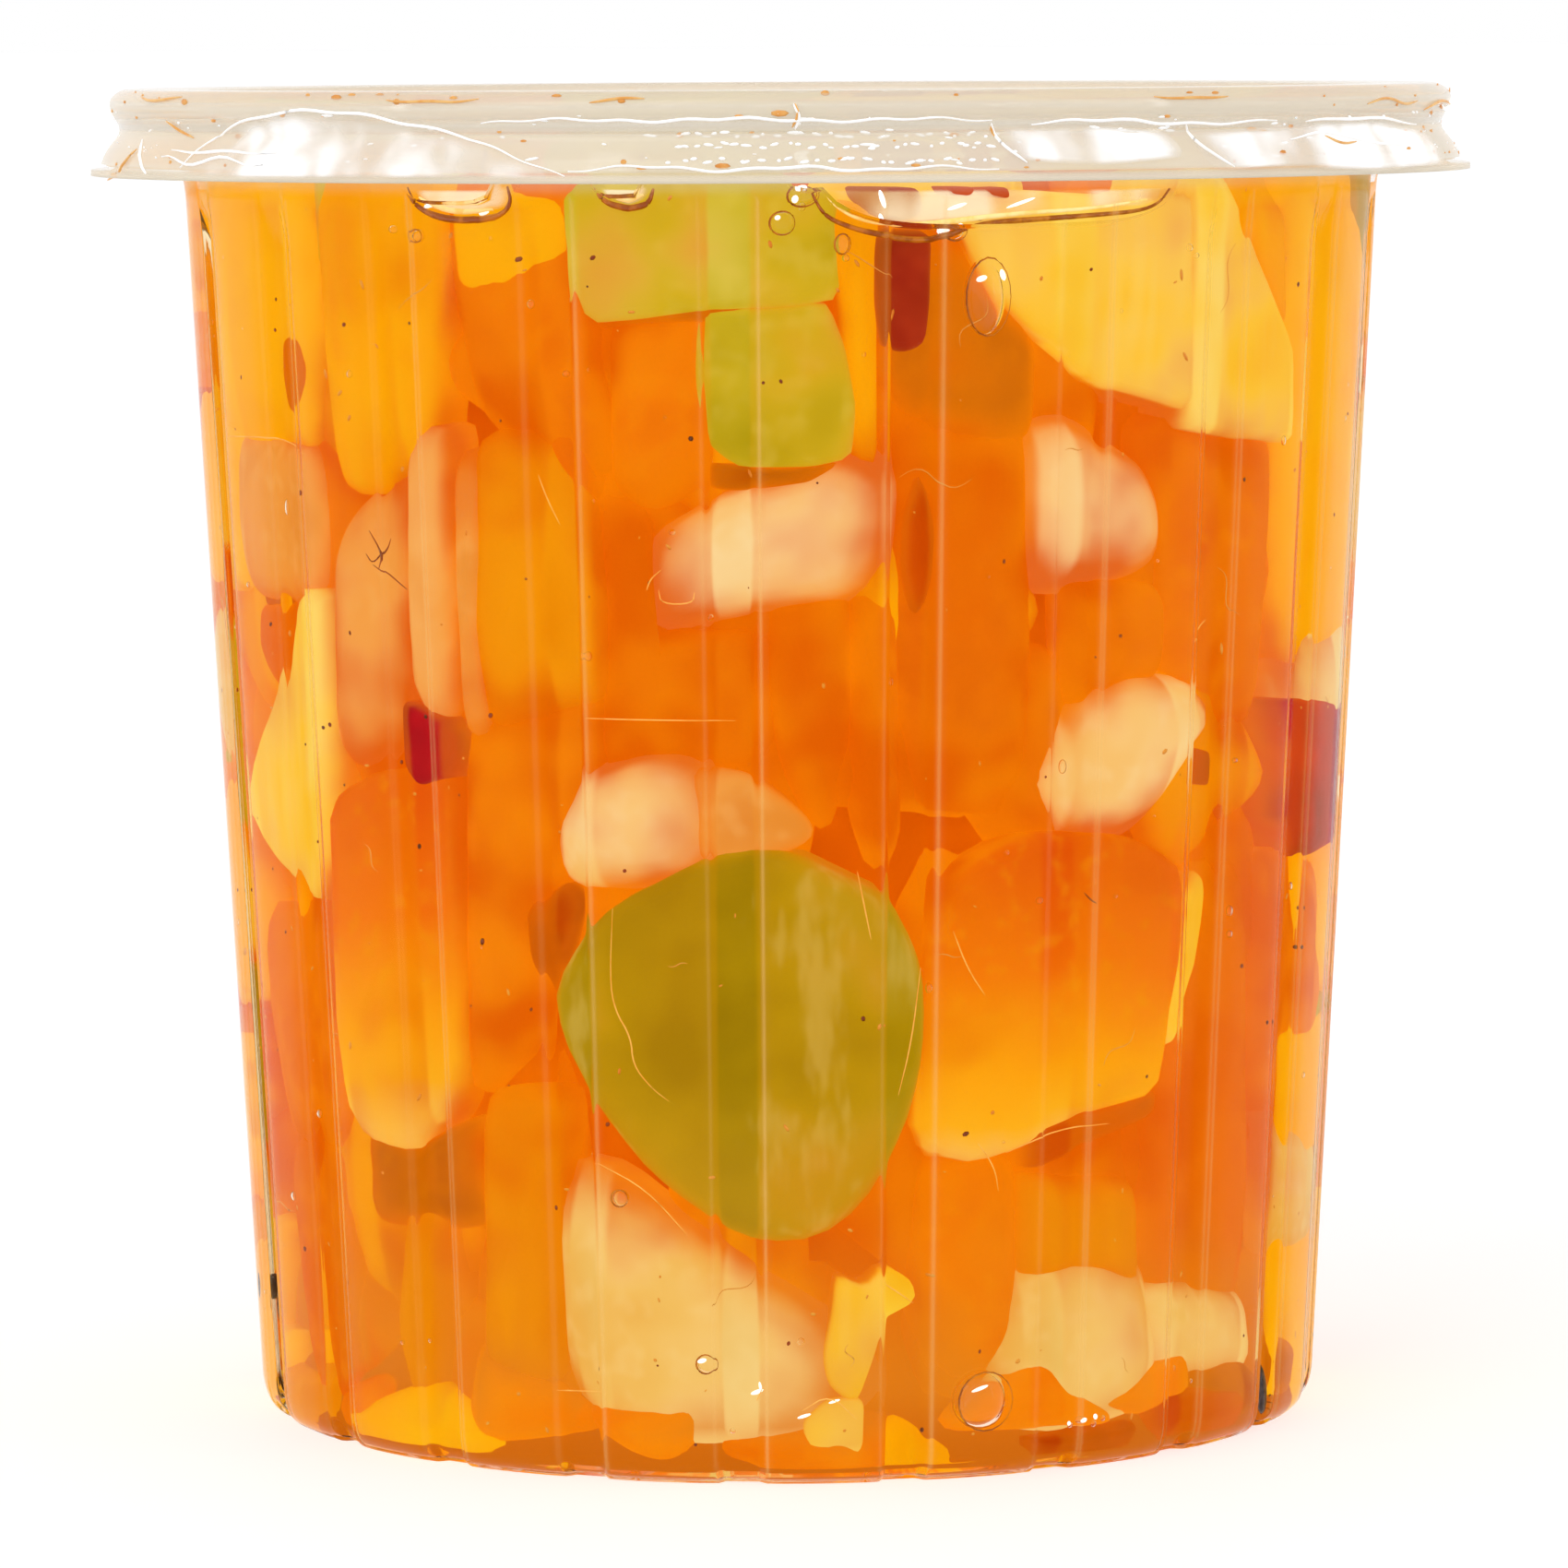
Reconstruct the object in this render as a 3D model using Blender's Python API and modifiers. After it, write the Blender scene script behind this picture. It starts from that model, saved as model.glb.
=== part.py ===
"""Fruit cup: a clear fluted tub of cut fruit in juice, shut by a clear snap lid.

Units are metres, +Z is up, and the origin is the middle of the foot, on the table.
Azimuth 0 faces -Y and grows towards +X. Run: blender --background --python part.py
"""
import math
import random

import bmesh
import bpy
from mathutils import Matrix, Vector

MM = 0.001

# Driving dimensions of the tub
FLANGE_RADIUS = 60.0 * MM
FLANGE_UNDERSIDE = 108.0 * MM
FOOT_RADIUS = 44.9 * MM
WALL_RADIUS_AT_TABLE = 46.2 * MM
WALL_SPREAD = 0.0532
WALL_TOP = 106.5 * MM
SHEET = 0.5 * MM

# Flutes: wide ridges stand proud between narrow pressed-in grooves
FLUTES = 21
GROOVE_DEPTH = 1.3 * MM
GROOVE_FULL_FROM = 2.4 * MM
GROOVE_FULL_TO = 102.5 * MM
GROOVE_FADE = 4.0 * MM
RIDGE_START = -2.1
FLUTE_STATIONS = (0.0, 5.85, 11.7, 12.5, 16.35)
STEPS = FLUTES * len(FLUTE_STATIONS)

# Lid
LID_TOP = 115.4 * MM
LID_SHEET = 0.45 * MM
LID_PANEL = 112.4 * MM
LID_STEPS = 60

# The heap of fruit keeps clear of the wall, the floor and the lid's panel
HEAP_CLEARANCE = 2.1 * MM
HEAP_FLOOR = 2.1 * MM
HEAP_CORNER = 4.5 * MM
HEAP_TOP = 111.3 * MM
CORE_INSET = 5.0 * MM
CORE_FLOOR = 4.0 * MM
CORE_TOP = 105.0 * MM
CORE_STEPS = 24
PIECE_BEVEL = 1.2 * MM
UNEVENNESS = 0.07
SEED = 12

# Each cut of fruit: the number of sides of its face, and its depth in mm
CUTS = {
    "chunk": (4, 11.0),
    "wedge": (3, 11.0),
    "slice": (6, 10.0),
    "half": (12, 10.0),
    "skin": (4, 7.0),
}

# Pieces at the front and sides: cut, azimuth, height, width, tall (mm), turn (degrees)
FRONT_PIECES = (
    ("chunk", -84, 95, 12, 24, 0),
    ("chunk", -68, 97, 16, 21, 4),
    ("chunk", -48, 93, 16, 29, -3),
    ("chunk", -29, 96, 14, 24, 2),
    ("chunk", -8, 103, 23, 10, 0),
    ("chunk", -14, 90, 10, 14, 0),
    ("chunk", 0, 91, 13, 13, -3),
    ("skin", 12, 101, 8, 14, 4),
    ("wedge", 33, 99, 22, 17, 178),
    ("wedge", 56, 97, 17, 22, 160),
    ("chunk", 78, 87, 16, 38, 2),
    ("chunk", -74, 79, 18, 13, 5),
    ("chunk", -29, 75, 13, 23, 18),
    ("slice", -3, 78, 23, 13, 12),
    ("chunk", 18, 72, 15, 34, 3),
    ("slice", 37, 79, 13, 15, 20),
    ("chunk", 57, 74, 16, 22, -4),
    ("chunk", -52, 67, 12, 19, -5),
    ("chunk", -41, 75, 7, 17, 10),
    ("chunk", -5, 65, 22, 10, 0),
    ("slice", 42, 60, 17, 14, 30),
    ("wedge", -75, 60, 12, 26, 180),
    ("slice", -50, 44, 23, 32, 25),
    ("chunk", -29, 54, 13, 15, 0),
    ("slice", -9, 56, 21, 9, -5),
    ("half", -5, 36.5, 34, 33, 0),
    ("chunk", 20, 42, 14, 24, 3),
    ("slice", 41, 42, 20, 22, -30),
    ("skin", 38, 29, 14, 5, 10),
    ("chunk", 81, 54, 11, 15, 0),
    ("chunk", 66, 48, 13, 20, 6),
    ("chunk", -74, 26, 20, 34, 0),
    ("chunk", -50, 15, 14, 20, 5),
    ("chunk", -33, 17, 10, 25, -4),
    ("slice", -10, 13, 26, 18, -8),
    ("chunk", 9, 10, 6, 14, 10),
    ("chunk", 20, 15, 11, 21, 0),
    ("chunk", 40, 12, 13, 15, -6),
    ("chunk", 58, 12, 15, 15, 8),
    ("chunk", 61, 27, 16, 11, 4),
    ("chunk", 83, 22, 12, 20, 0),
)

# Rows of pieces round the back, which follow a seeded rule
BACK_FROM = 101.0
BACK_TO = 258.0
BACK_ROWS = (13.0, 33.0, 53.0, 73.0, 94.0)
BACK_COLUMNS = 7
BACK_WIDTH = (16.0, 20.0)
BACK_TALL = (15.0, 20.0)

# Rings of pieces that show through the lid and through the floor: radius (mm) and how many
TOP_RINGS = ((34.0, 7), (12.0, 3))
FLOOR_RINGS = ((29.0, 6), (11.0, 2))
RING_PIECE = (17.0, 20.0)
TOP_CENTRE = 103.5
FLOOR_CENTRE = 8.0


def clear_scene():
    for item in list(bpy.data.objects):
        bpy.data.objects.remove(item, do_unlink=True)


def new_collection(name):
    group = bpy.data.collections.new(name)
    bpy.context.scene.collection.children.link(group)
    return group


def plastic(name, colour, roughness, transmission=0.0):
    material = bpy.data.materials.new(name)
    material.use_nodes = True
    shader = material.node_tree.nodes["Principled BSDF"]
    shader.inputs["Base Color"].default_value = (*colour, 1.0)
    shader.inputs["Roughness"].default_value = roughness
    shader.inputs["Metallic"].default_value = 0.0
    shader.inputs["Transmission Weight"].default_value = transmission
    return material


def add_object(name, mesh, group, material=None):
    item = bpy.data.objects.new(name, mesh)
    group.objects.link(item)
    if material:
        mesh.materials.append(material)
    return item


def evaluated_mesh(item):
    bpy.context.view_layer.update()
    graph = bpy.context.evaluated_depsgraph_get()
    return bpy.data.meshes.new_from_object(item.evaluated_get(graph))


def wall_radius(z):
    """Outer radius of the tub's wall at height z, on a ridge."""
    return WALL_RADIUS_AT_TABLE + WALL_SPREAD * z


def turned(name, profile, steps, group):
    """Turn a profile of (radius, height) points about Z into an open or closed surface."""
    line = bpy.data.meshes.new(name)
    points = [(radius, 0.0, z) for radius, z in profile]
    line.from_pydata(points, [(i, i + 1) for i in range(len(points) - 1)], [])
    item = add_object(name, line, group)
    screw = item.modifiers.new("Screw", "SCREW")
    screw.steps = steps
    screw.render_steps = steps
    screw.use_merge_vertices = True
    screw.merge_threshold = 0.01 * MM
    return item


def applied(item):
    """Replace the object's mesh by its evaluated mesh and drop its modifiers."""
    mesh = evaluated_mesh(item)
    item.modifiers.clear()
    item.data = mesh
    return item


def solidify(item, thickness):
    shell = item.modifiers.new("Solidify", "SOLIDIFY")
    shell.thickness = thickness
    shell.offset = -1.0
    shell.use_even_offset = True


def shade_round(item, degrees):
    item.data.shade_smooth()
    item.data.set_sharp_from_angle(angle=math.radians(degrees))


def cup_profile():
    """From the flange's tip, over the hollow rim, down the wall and in over the floor."""
    return (
        (FLANGE_RADIUS, FLANGE_UNDERSIDE),
        (57.6 * MM, FLANGE_UNDERSIDE),
        (55.6 * MM, 111.2 * MM),
        (56.7 * MM, 113.1 * MM),
        (55.8 * MM, 113.9 * MM),
        (53.9 * MM, 113.7 * MM),
        (52.9 * MM, 112.4 * MM),
        (wall_radius(WALL_TOP), WALL_TOP),
        (wall_radius(GROOVE_FULL_TO), GROOVE_FULL_TO),
        (wall_radius(GROOVE_FULL_FROM), GROOVE_FULL_FROM),
        (45.9 * MM, 0.9 * MM),
        (FOOT_RADIUS, 0.0),
        (37.7 * MM, 0.0),
        (36.5 * MM, 1.2 * MM),
        (0.0, 1.2 * MM),
    )


def groove_strength(z):
    """1 along the wall, falling to 0 under the rim and round the base corner."""
    below = z / GROOVE_FULL_FROM
    above = (GROOVE_FULL_TO + GROOVE_FADE - z) / GROOVE_FADE
    return max(0.0, min(1.0, below, above))


def press_flutes(item):
    """Space the columns of vertices as flutes, and move each groove's columns inwards."""
    columns = len(FLUTE_STATIONS)
    pitch = 360.0 / FLUTES
    for vertex in item.data.vertices:
        x, y, z = vertex.co
        radius = math.hypot(x, y)
        if radius < MM:
            continue
        column = round(math.degrees(math.atan2(y, x)) / (360.0 / STEPS)) % STEPS
        flute, station = divmod(column, columns)
        azimuth = math.radians(RIDGE_START + flute * pitch + FLUTE_STATIONS[station])
        if station >= columns - 2:
            radius -= GROOVE_DEPTH * groove_strength(z)
        vertex.co = (radius * math.sin(azimuth), -radius * math.cos(azimuth), z)


def make_cup(group):
    cup = applied(turned("cup", cup_profile(), STEPS, group))
    press_flutes(cup)
    shade_round(cup, 35)
    solidify(cup, SHEET)
    cup.data.materials.append(plastic("clear_cup", (0.93, 0.93, 0.92), 0.05, 0.9))
    return cup


def lid_profile():
    """From the middle of the panel, up over the rim and down the skirt."""
    return (
        (0.0, LID_PANEL),
        (50.4 * MM, LID_PANEL),
        (51.3 * MM, 114.8 * MM),
        (52.0 * MM, LID_TOP),
        (57.3 * MM, LID_TOP),
        (58.3 * MM, 114.6 * MM),
        (58.3 * MM, 113.7 * MM),
        (57.3 * MM, 111.8 * MM),
        (58.7 * MM, 110.0 * MM),
        (59.1 * MM, 109.0 * MM),
    )


def make_lid(group):
    lid = applied(turned("lid", lid_profile(), LID_STEPS, group))
    shade_round(lid, 35)
    solidify(lid, LID_SHEET)
    lid.data.materials.append(plastic("clear_lid", (0.95, 0.95, 0.94), 0.08, 0.9))
    return lid


def heap_limit(z):
    """The greatest radius that a piece of fruit reaches at height z."""
    corner = max(0.0, HEAP_CORNER - z)
    return wall_radius(z) - HEAP_CLEARANCE - corner


def press_inside(mesh):
    """Press every corner of a piece back inside the tub."""
    for vertex in mesh.verts:
        z = max(HEAP_FLOOR, min(HEAP_TOP, vertex.co.z))
        radius = math.hypot(vertex.co.x, vertex.co.y)
        scale = min(1.0, heap_limit(z) / max(radius, MM))
        vertex.co = (vertex.co.x * scale, vertex.co.y * scale, z)


def cut_piece(cut, width, tall, dice):
    """A chunk whose face lies in local XY, with its depth along local Z."""
    sides, depth = CUTS[cut]
    mesh = bmesh.new()
    bmesh.ops.create_cone(mesh, cap_ends=True, segments=sides, radius1=1.0, radius2=1.0, depth=1.0)
    turn = Matrix.Rotation(math.pi / sides, 3, "Z")
    bmesh.ops.rotate(mesh, verts=mesh.verts, matrix=turn)
    reach_x = max(abs(vertex.co.x) for vertex in mesh.verts)
    reach_y = max(abs(vertex.co.y) for vertex in mesh.verts)
    size = Vector((width * MM / reach_x / 2, tall * MM / reach_y / 2, depth * MM))
    bmesh.ops.scale(mesh, verts=mesh.verts, vec=size)
    for vertex in mesh.verts:
        for axis, reach in ((0, width), (1, tall)):
            vertex.co[axis] += dice.uniform(-1, 1) * UNEVENNESS * reach * MM
    bevel = PIECE_BEVEL if min(width, tall) > 8 else PIECE_BEVEL / 2
    outer = [edge for edge in mesh.edges if min(end.co.z for end in edge.verts) > 0]
    bmesh.ops.bevel(mesh, geom=outer, offset=bevel, segments=1, affect="EDGES")
    return mesh


def wall_matrix(azimuth, height, cut):
    """Place a piece against the wall: X along it, Y up, Z outwards."""
    angle = math.radians(azimuth)
    outwards = Vector((math.sin(angle), -math.cos(angle), -WALL_SPREAD)).normalized()
    along = Vector((math.cos(angle), math.sin(angle), 0.0))
    up = outwards.cross(along)
    depth = CUTS[cut][1] * MM
    centre = outwards * (heap_limit(height * MM) - depth / 2)
    matrix = Matrix((along, up, outwards)).transposed().to_4x4()
    matrix.translation = (centre.x, centre.y, height * MM)
    return matrix


def add_piece(mesh, matrix, turn, group):
    bmesh.ops.rotate(mesh, verts=mesh.verts, matrix=Matrix.Rotation(math.radians(turn), 3, "Z"))
    bmesh.ops.transform(mesh, matrix=matrix, verts=mesh.verts)
    press_inside(mesh)
    data = bpy.data.meshes.new("piece")
    mesh.to_mesh(data)
    mesh.free()
    add_object("piece", data, group)


def add_wall_pieces(group, dice):
    for cut, azimuth, height, width, tall, turn in FRONT_PIECES:
        add_piece(cut_piece(cut, width, tall, dice), wall_matrix(azimuth, height, cut), turn, group)
    step = (BACK_TO - BACK_FROM) / (BACK_COLUMNS - 1)
    for row, height in enumerate(BACK_ROWS):
        for column in range(BACK_COLUMNS):
            cut = dice.choice(("chunk", "chunk", "slice", "wedge"))
            azimuth = BACK_FROM + step * (column + 0.35 * (row % 2)) + dice.uniform(-3, 3)
            piece = cut_piece(cut, dice.uniform(*BACK_WIDTH), dice.uniform(*BACK_TALL), dice)
            place = wall_matrix(azimuth, height + dice.uniform(-2, 2), cut)
            add_piece(piece, place, dice.uniform(-20, 20), group)


def add_ring_pieces(group, dice, rings, centre):
    """Pieces that lie flat in rings, under the lid or on the floor."""
    for radius, count in rings:
        for number in range(count):
            angle = 2 * math.pi * (number + dice.uniform(-0.1, 0.1)) / count
            piece = cut_piece("chunk", dice.uniform(*RING_PIECE), dice.uniform(*RING_PIECE), dice)
            height = (centre + dice.uniform(-1.5, 1.5)) * MM
            middle = (radius * MM * math.cos(angle), radius * MM * math.sin(angle), height)
            add_piece(piece, Matrix.Translation(middle), dice.uniform(0, 90), group)


def linked_shells(mesh):
    """The mesh's faces, sorted into shells that don't touch each other."""
    unseen = set(mesh.faces)
    shells = []
    while unseen:
        shell = [unseen.pop()]
        for face in shell:
            smooth_edges = [edge for edge in face.edges if edge.is_manifold]
            for neighbour in {other for edge in smooth_edges for other in edge.link_faces}:
                if neighbour in unseen:
                    unseen.remove(neighbour)
                    shell.append(neighbour)
        shells.append(shell)
    return shells


def keep_outer_shell(item):
    """Fill the hollows that fusing sealed, and drop loose scraps."""
    mesh = bmesh.new()
    mesh.from_mesh(item.data)
    shells = sorted(linked_shells(mesh), key=lambda shell: sum(face.calc_area() for face in shell))
    for shell in shells[:-1]:
        bmesh.ops.delete(mesh, geom=shell, context="FACES")
    mesh.to_mesh(item.data)
    mesh.free()


def core_profile():
    return (
        (0.0, CORE_TOP),
        (heap_limit(CORE_TOP) - CORE_INSET, CORE_TOP),
        (heap_limit(2 * HEAP_CORNER) - CORE_INSET, 2 * HEAP_CORNER),
        (heap_limit(HEAP_CORNER) - CORE_INSET - HEAP_CORNER, CORE_FLOOR),
        (0.0, CORE_FLOOR),
    )


def make_fruit(group):
    """One heap: a core with every piece that shows fused on."""
    dice = random.Random(SEED)
    pieces = new_collection("fruit_pieces")
    add_wall_pieces(pieces, dice)
    add_ring_pieces(pieces, dice, TOP_RINGS, TOP_CENTRE)
    add_ring_pieces(pieces, dice, FLOOR_RINGS, FLOOR_CENTRE)
    heap = applied(turned("fruit", core_profile(), CORE_STEPS, group))
    union = heap.modifiers.new("Union", "BOOLEAN")
    union.operation = "UNION"
    union.operand_type = "COLLECTION"
    union.collection = pieces
    union.solver = "EXACT"
    applied(heap)
    keep_outer_shell(heap)
    for item in list(pieces.objects):
        bpy.data.objects.remove(item, do_unlink=True)
    bpy.data.collections.remove(pieces)
    shade_round(heap, 30)
    heap.data.materials.clear()
    heap.data.materials.append(plastic("cut_fruit", (1.0, 0.42, 0.03), 0.35))
    return heap


def main():
    clear_scene()
    group = new_collection("fruit_cup")
    make_cup(group)
    make_fruit(group)
    make_lid(group)


main()
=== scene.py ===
import math
import random

import bmesh
import bpy
import numpy as np
from mathutils import Matrix, Vector, noise


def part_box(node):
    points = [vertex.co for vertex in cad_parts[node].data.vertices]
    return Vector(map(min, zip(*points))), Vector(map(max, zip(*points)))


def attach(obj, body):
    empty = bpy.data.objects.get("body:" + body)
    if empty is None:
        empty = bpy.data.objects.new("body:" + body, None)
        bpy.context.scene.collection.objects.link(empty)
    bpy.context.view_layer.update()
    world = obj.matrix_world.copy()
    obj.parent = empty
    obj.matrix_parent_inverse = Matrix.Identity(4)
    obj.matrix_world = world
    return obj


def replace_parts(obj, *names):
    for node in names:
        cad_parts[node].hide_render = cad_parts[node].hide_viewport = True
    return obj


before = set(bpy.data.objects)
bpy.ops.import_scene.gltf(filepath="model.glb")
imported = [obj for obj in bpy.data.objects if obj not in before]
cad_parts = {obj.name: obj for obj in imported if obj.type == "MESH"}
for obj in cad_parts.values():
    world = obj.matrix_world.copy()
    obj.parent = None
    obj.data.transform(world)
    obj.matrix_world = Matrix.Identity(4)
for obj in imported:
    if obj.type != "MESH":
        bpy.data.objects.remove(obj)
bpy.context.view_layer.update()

MM = 0.001

# Sizes of the tub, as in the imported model
FLANGE_UNDERSIDE = 108.0 * MM
WALL_RADIUS_AT_TABLE = 46.2 * MM
WALL_SPREAD = 0.0532
SHEET = 0.5 * MM
LID_SHEET = 0.45 * MM
LID_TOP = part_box("lid")[1].z
LID_PANEL = LID_TOP - 3.0 * MM
FLOOR_PANEL = 1.2 * MM

# Profiles as radius and height (mm): the tub's flange and rim, its foot, and the lid's panel and skirt
CUP_RIM = (
    (60.0, 108.0), (57.6, 108.0), (55.6, 111.2), (56.7, 113.1), (55.8, 113.9), (53.9, 113.7), (52.9, 112.4))
CUP_FOOT = ((45.9, 0.9), (44.9, 0.0), (37.7, 0.0), (36.5, 1.2), (0.0, 1.2))
LID_PANEL_RIM = ((50.4, 112.4), (51.3, 114.8), (52.0, 115.4))
LID_SKIRT = ((57.3, 115.4), (58.3, 114.6), (58.3, 113.7), (57.3, 111.8), (58.7, 110.0), (59.1, 109.0))
WALL_TOP = 106.5 * MM
WALL_FOOT = 2.4 * MM

# Flutes: degrees along one pitch, and depths in metres
FLUTES = 21
PITCH = 360.0 / FLUTES
RIDGE_START = -2.1
RIDGE_WIDTH = 11.7
GROOVE_END = 16.4
FLANK = 0.9
SHOULDER = 1.9
SHOULDER_DEPTH = 0.16 * MM
GROOVE_DEPTH = 1.3 * MM
# The painted highlight on the edges of a ridge: its strength, its width in degrees, the share on the second
# edge, and the columns of points near an edge, in degrees
RIDGE_HIGHLIGHT = 0.2
RIDGE_HIGHLIGHT_WIDTH = 0.16
SECOND_HIGHLIGHT_SHARE = 0.3
EDGE_STEPS = (0.0, 0.25, 0.8, 1.35)
# Heights over which the grooves grow deep above the foot and run out below the rim
GROOVE_BOTTOM = (0.0, WALL_FOOT)
GROOVE_TOP = (102.5 * MM, WALL_TOP)
GROOVE_AT_FOOT = 0.85

# Juice
JUICE_LEVEL = 109.0 * MM
JUICE_IN_WALL = 0.15 * MM
FRUIT_TOP = 111.0 * MM
JUICE_BEND = 1.17
JUICE_DENSITY = 26.0

# The camera that took the photo, and the photo's size in pixels
PHOTO = 1700.0
SENSOR = 36.0
LENS = 183.3
CAMERA_DISTANCE = 0.699
CAMERA_HEIGHT = 0.120
CAMERA_AIM = 0.0542
CAMERA_ROLL = -0.32

# Distances along the wall are measured on a cylinder of this radius
UNROLL = 46.0 * MM
SEED = 23


def srgb(red, green, blue):
    """A colour judged on the 0 to 255 scale, as linear values."""
    levels = [level / 255 for level in (red, green, blue)]
    return tuple(c / 12.92 if c <= 0.04045 else ((c + 0.055) / 1.055) ** 2.4 for c in levels)


JUICE = srgb(242, 130, 2)
DEEP_JUICE = srgb(226, 96, 0)
CLOUD = srgb(255, 168, 24)
FOOT_SHADE = srgb(208, 106, 14)
# Towards the foot the pulp settles and the juice turns a golden brown
SETTLED = srgb(224, 138, 32)
SETTLED_HEIGHTS = (7.0 * MM, 26.0 * MM)
SETTLED_SHARE = 0.7

# A painted glow, a share of the fruit's own colour, stands in for light that has wandered through the fruit,
# and the rest is lit from the room
PAINTED_GLOW = 0.89
ROOM_SHARE = 0.26

# Depths of cloudy juice (mm) between which a piece's colour fades: firm pieces and soft ones
CLEAR_FADE = (1.4, 5.5)
FIRM_FADE = (2.2, 7.0)
SOFT_FADE = (1.6, 5.4)
CLOUD_DRIFT = 7.0 * MM

# The painted shade in the grooves' plastic, the painted highlights on the edges of the ridges, and the milky
# rim, whose colour and glow also paint the highlight on the flange's edge
GROOVE_SHADE = (0.97, 0.935, 0.88)
EDGE_HIGHLIGHT_COLOUR = (1.0, 0.62, 0.2)
RIM_COLOUR = (0.82, 0.72, 0.56)
RIM_GLOW = (0.9, 0.81, 0.66)


# Camera, and the way from a pixel of the photo to the wall of the tub

def camera_matrix():
    place = Vector((0.0, -CAMERA_DISTANCE, CAMERA_HEIGHT))
    aim = Vector((0.0, 0.0, CAMERA_AIM))
    turn = (aim - place).to_track_quat("-Z", "Y").to_matrix().to_4x4()
    roll = Matrix.Rotation(math.radians(CAMERA_ROLL), 4, "Z")
    return Matrix.Translation(place) @ turn @ roll


CAMERA = camera_matrix()


def pixel_ray(x, y):
    """Start and direction of the ray through a pixel of the photo."""
    focal = LENS / SENSOR * PHOTO
    away = Vector(((x - PHOTO / 2) / focal, (PHOTO / 2 - y) / focal, -1.0))
    return CAMERA.translation, (CAMERA.to_3x3() @ away).normalized()


def wall_radius(z):
    """Outer radius of the tub's wall on a ridge."""
    return WALL_RADIUS_AT_TABLE + WALL_SPREAD * z


def on_cone(x, y, radius_at_table, spread):
    """Azimuth and height where the ray through a pixel meets a cone round the Z axis."""
    start, away = pixel_ray(x, y)
    base = radius_at_table + spread * start.z
    slope = spread * away.z
    a = away.x ** 2 + away.y ** 2 - slope ** 2
    b = 2 * (start.x * away.x + start.y * away.y - base * slope)
    c = start.x ** 2 + start.y ** 2 - base ** 2
    root = math.sqrt(max(0.0, b * b - 4 * a * c))
    hit = start + away * ((-b - root) / (2 * a))
    return math.atan2(hit.x, -hit.y), hit.z


def on_wall(x, y):
    """Where the pixel lies on the inside of the wall, as distance along it and height."""
    azimuth, z = on_cone(x, y, WALL_RADIUS_AT_TABLE - GROOVE_DEPTH, WALL_SPREAD)
    return azimuth * UNROLL, z


# Materials

def new_material(name):
    material = bpy.data.materials.new(name)
    material.use_nodes = True
    material.node_tree.nodes.clear()
    material.cycles.emission_sampling = "NONE"
    return material, material.node_tree


def add(tree, kind, inputs=None, **settings):
    """Add a node. An input given a socket is linked, and any other value is set."""
    item = tree.nodes.new(kind)
    for key, value in settings.items():
        setattr(item, key, value)
    for key, value in (inputs or {}).items():
        if isinstance(value, bpy.types.NodeSocket):
            tree.links.new(value, item.inputs[key])
        else:
            item.inputs[key].default_value = value
    return item


def colour4(colour):
    return (*colour, 1.0)


def shade(tree, inputs):
    """One Principled shader as the whole surface. Returns the output node."""
    shader = add(tree, "ShaderNodeBsdfPrincipled", inputs)
    return add(tree, "ShaderNodeOutputMaterial", {"Surface": shader.outputs[0]})


def place_of(tree):
    return add(tree, "ShaderNodeTexCoord").outputs["Object"]


def height_of(tree):
    return add(tree, "ShaderNodeSeparateXYZ", {0: place_of(tree)}).outputs["Z"]


def attribute(tree, name):
    """A value that the points of the mesh carry."""
    return add(tree, "ShaderNodeAttribute", attribute_name=name).outputs["Fac"]


def noise_value(tree, scale, detail=3.0, roughness=0.55, stretch=(1.0, 1.0, 1.0)):
    mapping = add(tree, "ShaderNodeMapping", {"Vector": place_of(tree), "Scale": stretch})
    texture = add(tree, "ShaderNodeTexNoise", {
        "Vector": mapping.outputs[0], "Scale": scale, "Detail": detail, "Roughness": roughness})
    return texture.outputs["Fac"]


def ramp(tree, value, *stops):
    item = add(tree, "ShaderNodeValToRGB", {"Fac": value})
    elements = item.color_ramp.elements
    while len(elements) < len(stops):
        elements.new(0.5)
    for element, (position, colour) in zip(elements, stops):
        element.position = position
        element.color = colour4(colour)
    return item.outputs["Color"]


def mix_colour(tree, factor, first, second, blend="MIX"):
    item = add(tree, "ShaderNodeMix", data_type="RGBA", blend_type=blend)
    for key, value in ((0, factor), (6, first), (7, second)):
        if isinstance(value, bpy.types.NodeSocket):
            tree.links.new(value, item.inputs[key])
        else:
            item.inputs[key].default_value = value if key == 0 else colour4(value)
    return item.outputs[2]


def maths(tree, operation, first, second=0.0):
    return add(tree, "ShaderNodeMath", {0: first, 1: second}, operation=operation).outputs[0]


def plus(tree, first, second):
    return maths(tree, "ADD", first, second)


def minus(tree, first, second):
    return maths(tree, "SUBTRACT", first, second)


def times(tree, first, second):
    return maths(tree, "MULTIPLY", first, second)


def remap(tree, value, low, high, to_low=0.0, to_high=1.0):
    return add(tree, "ShaderNodeMapRange", {
        "Value": value, "From Min": low, "From Max": high, "To Min": to_low, "To Max": to_high,
    }, interpolation_type="SMOOTHSTEP").outputs[0]


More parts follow.
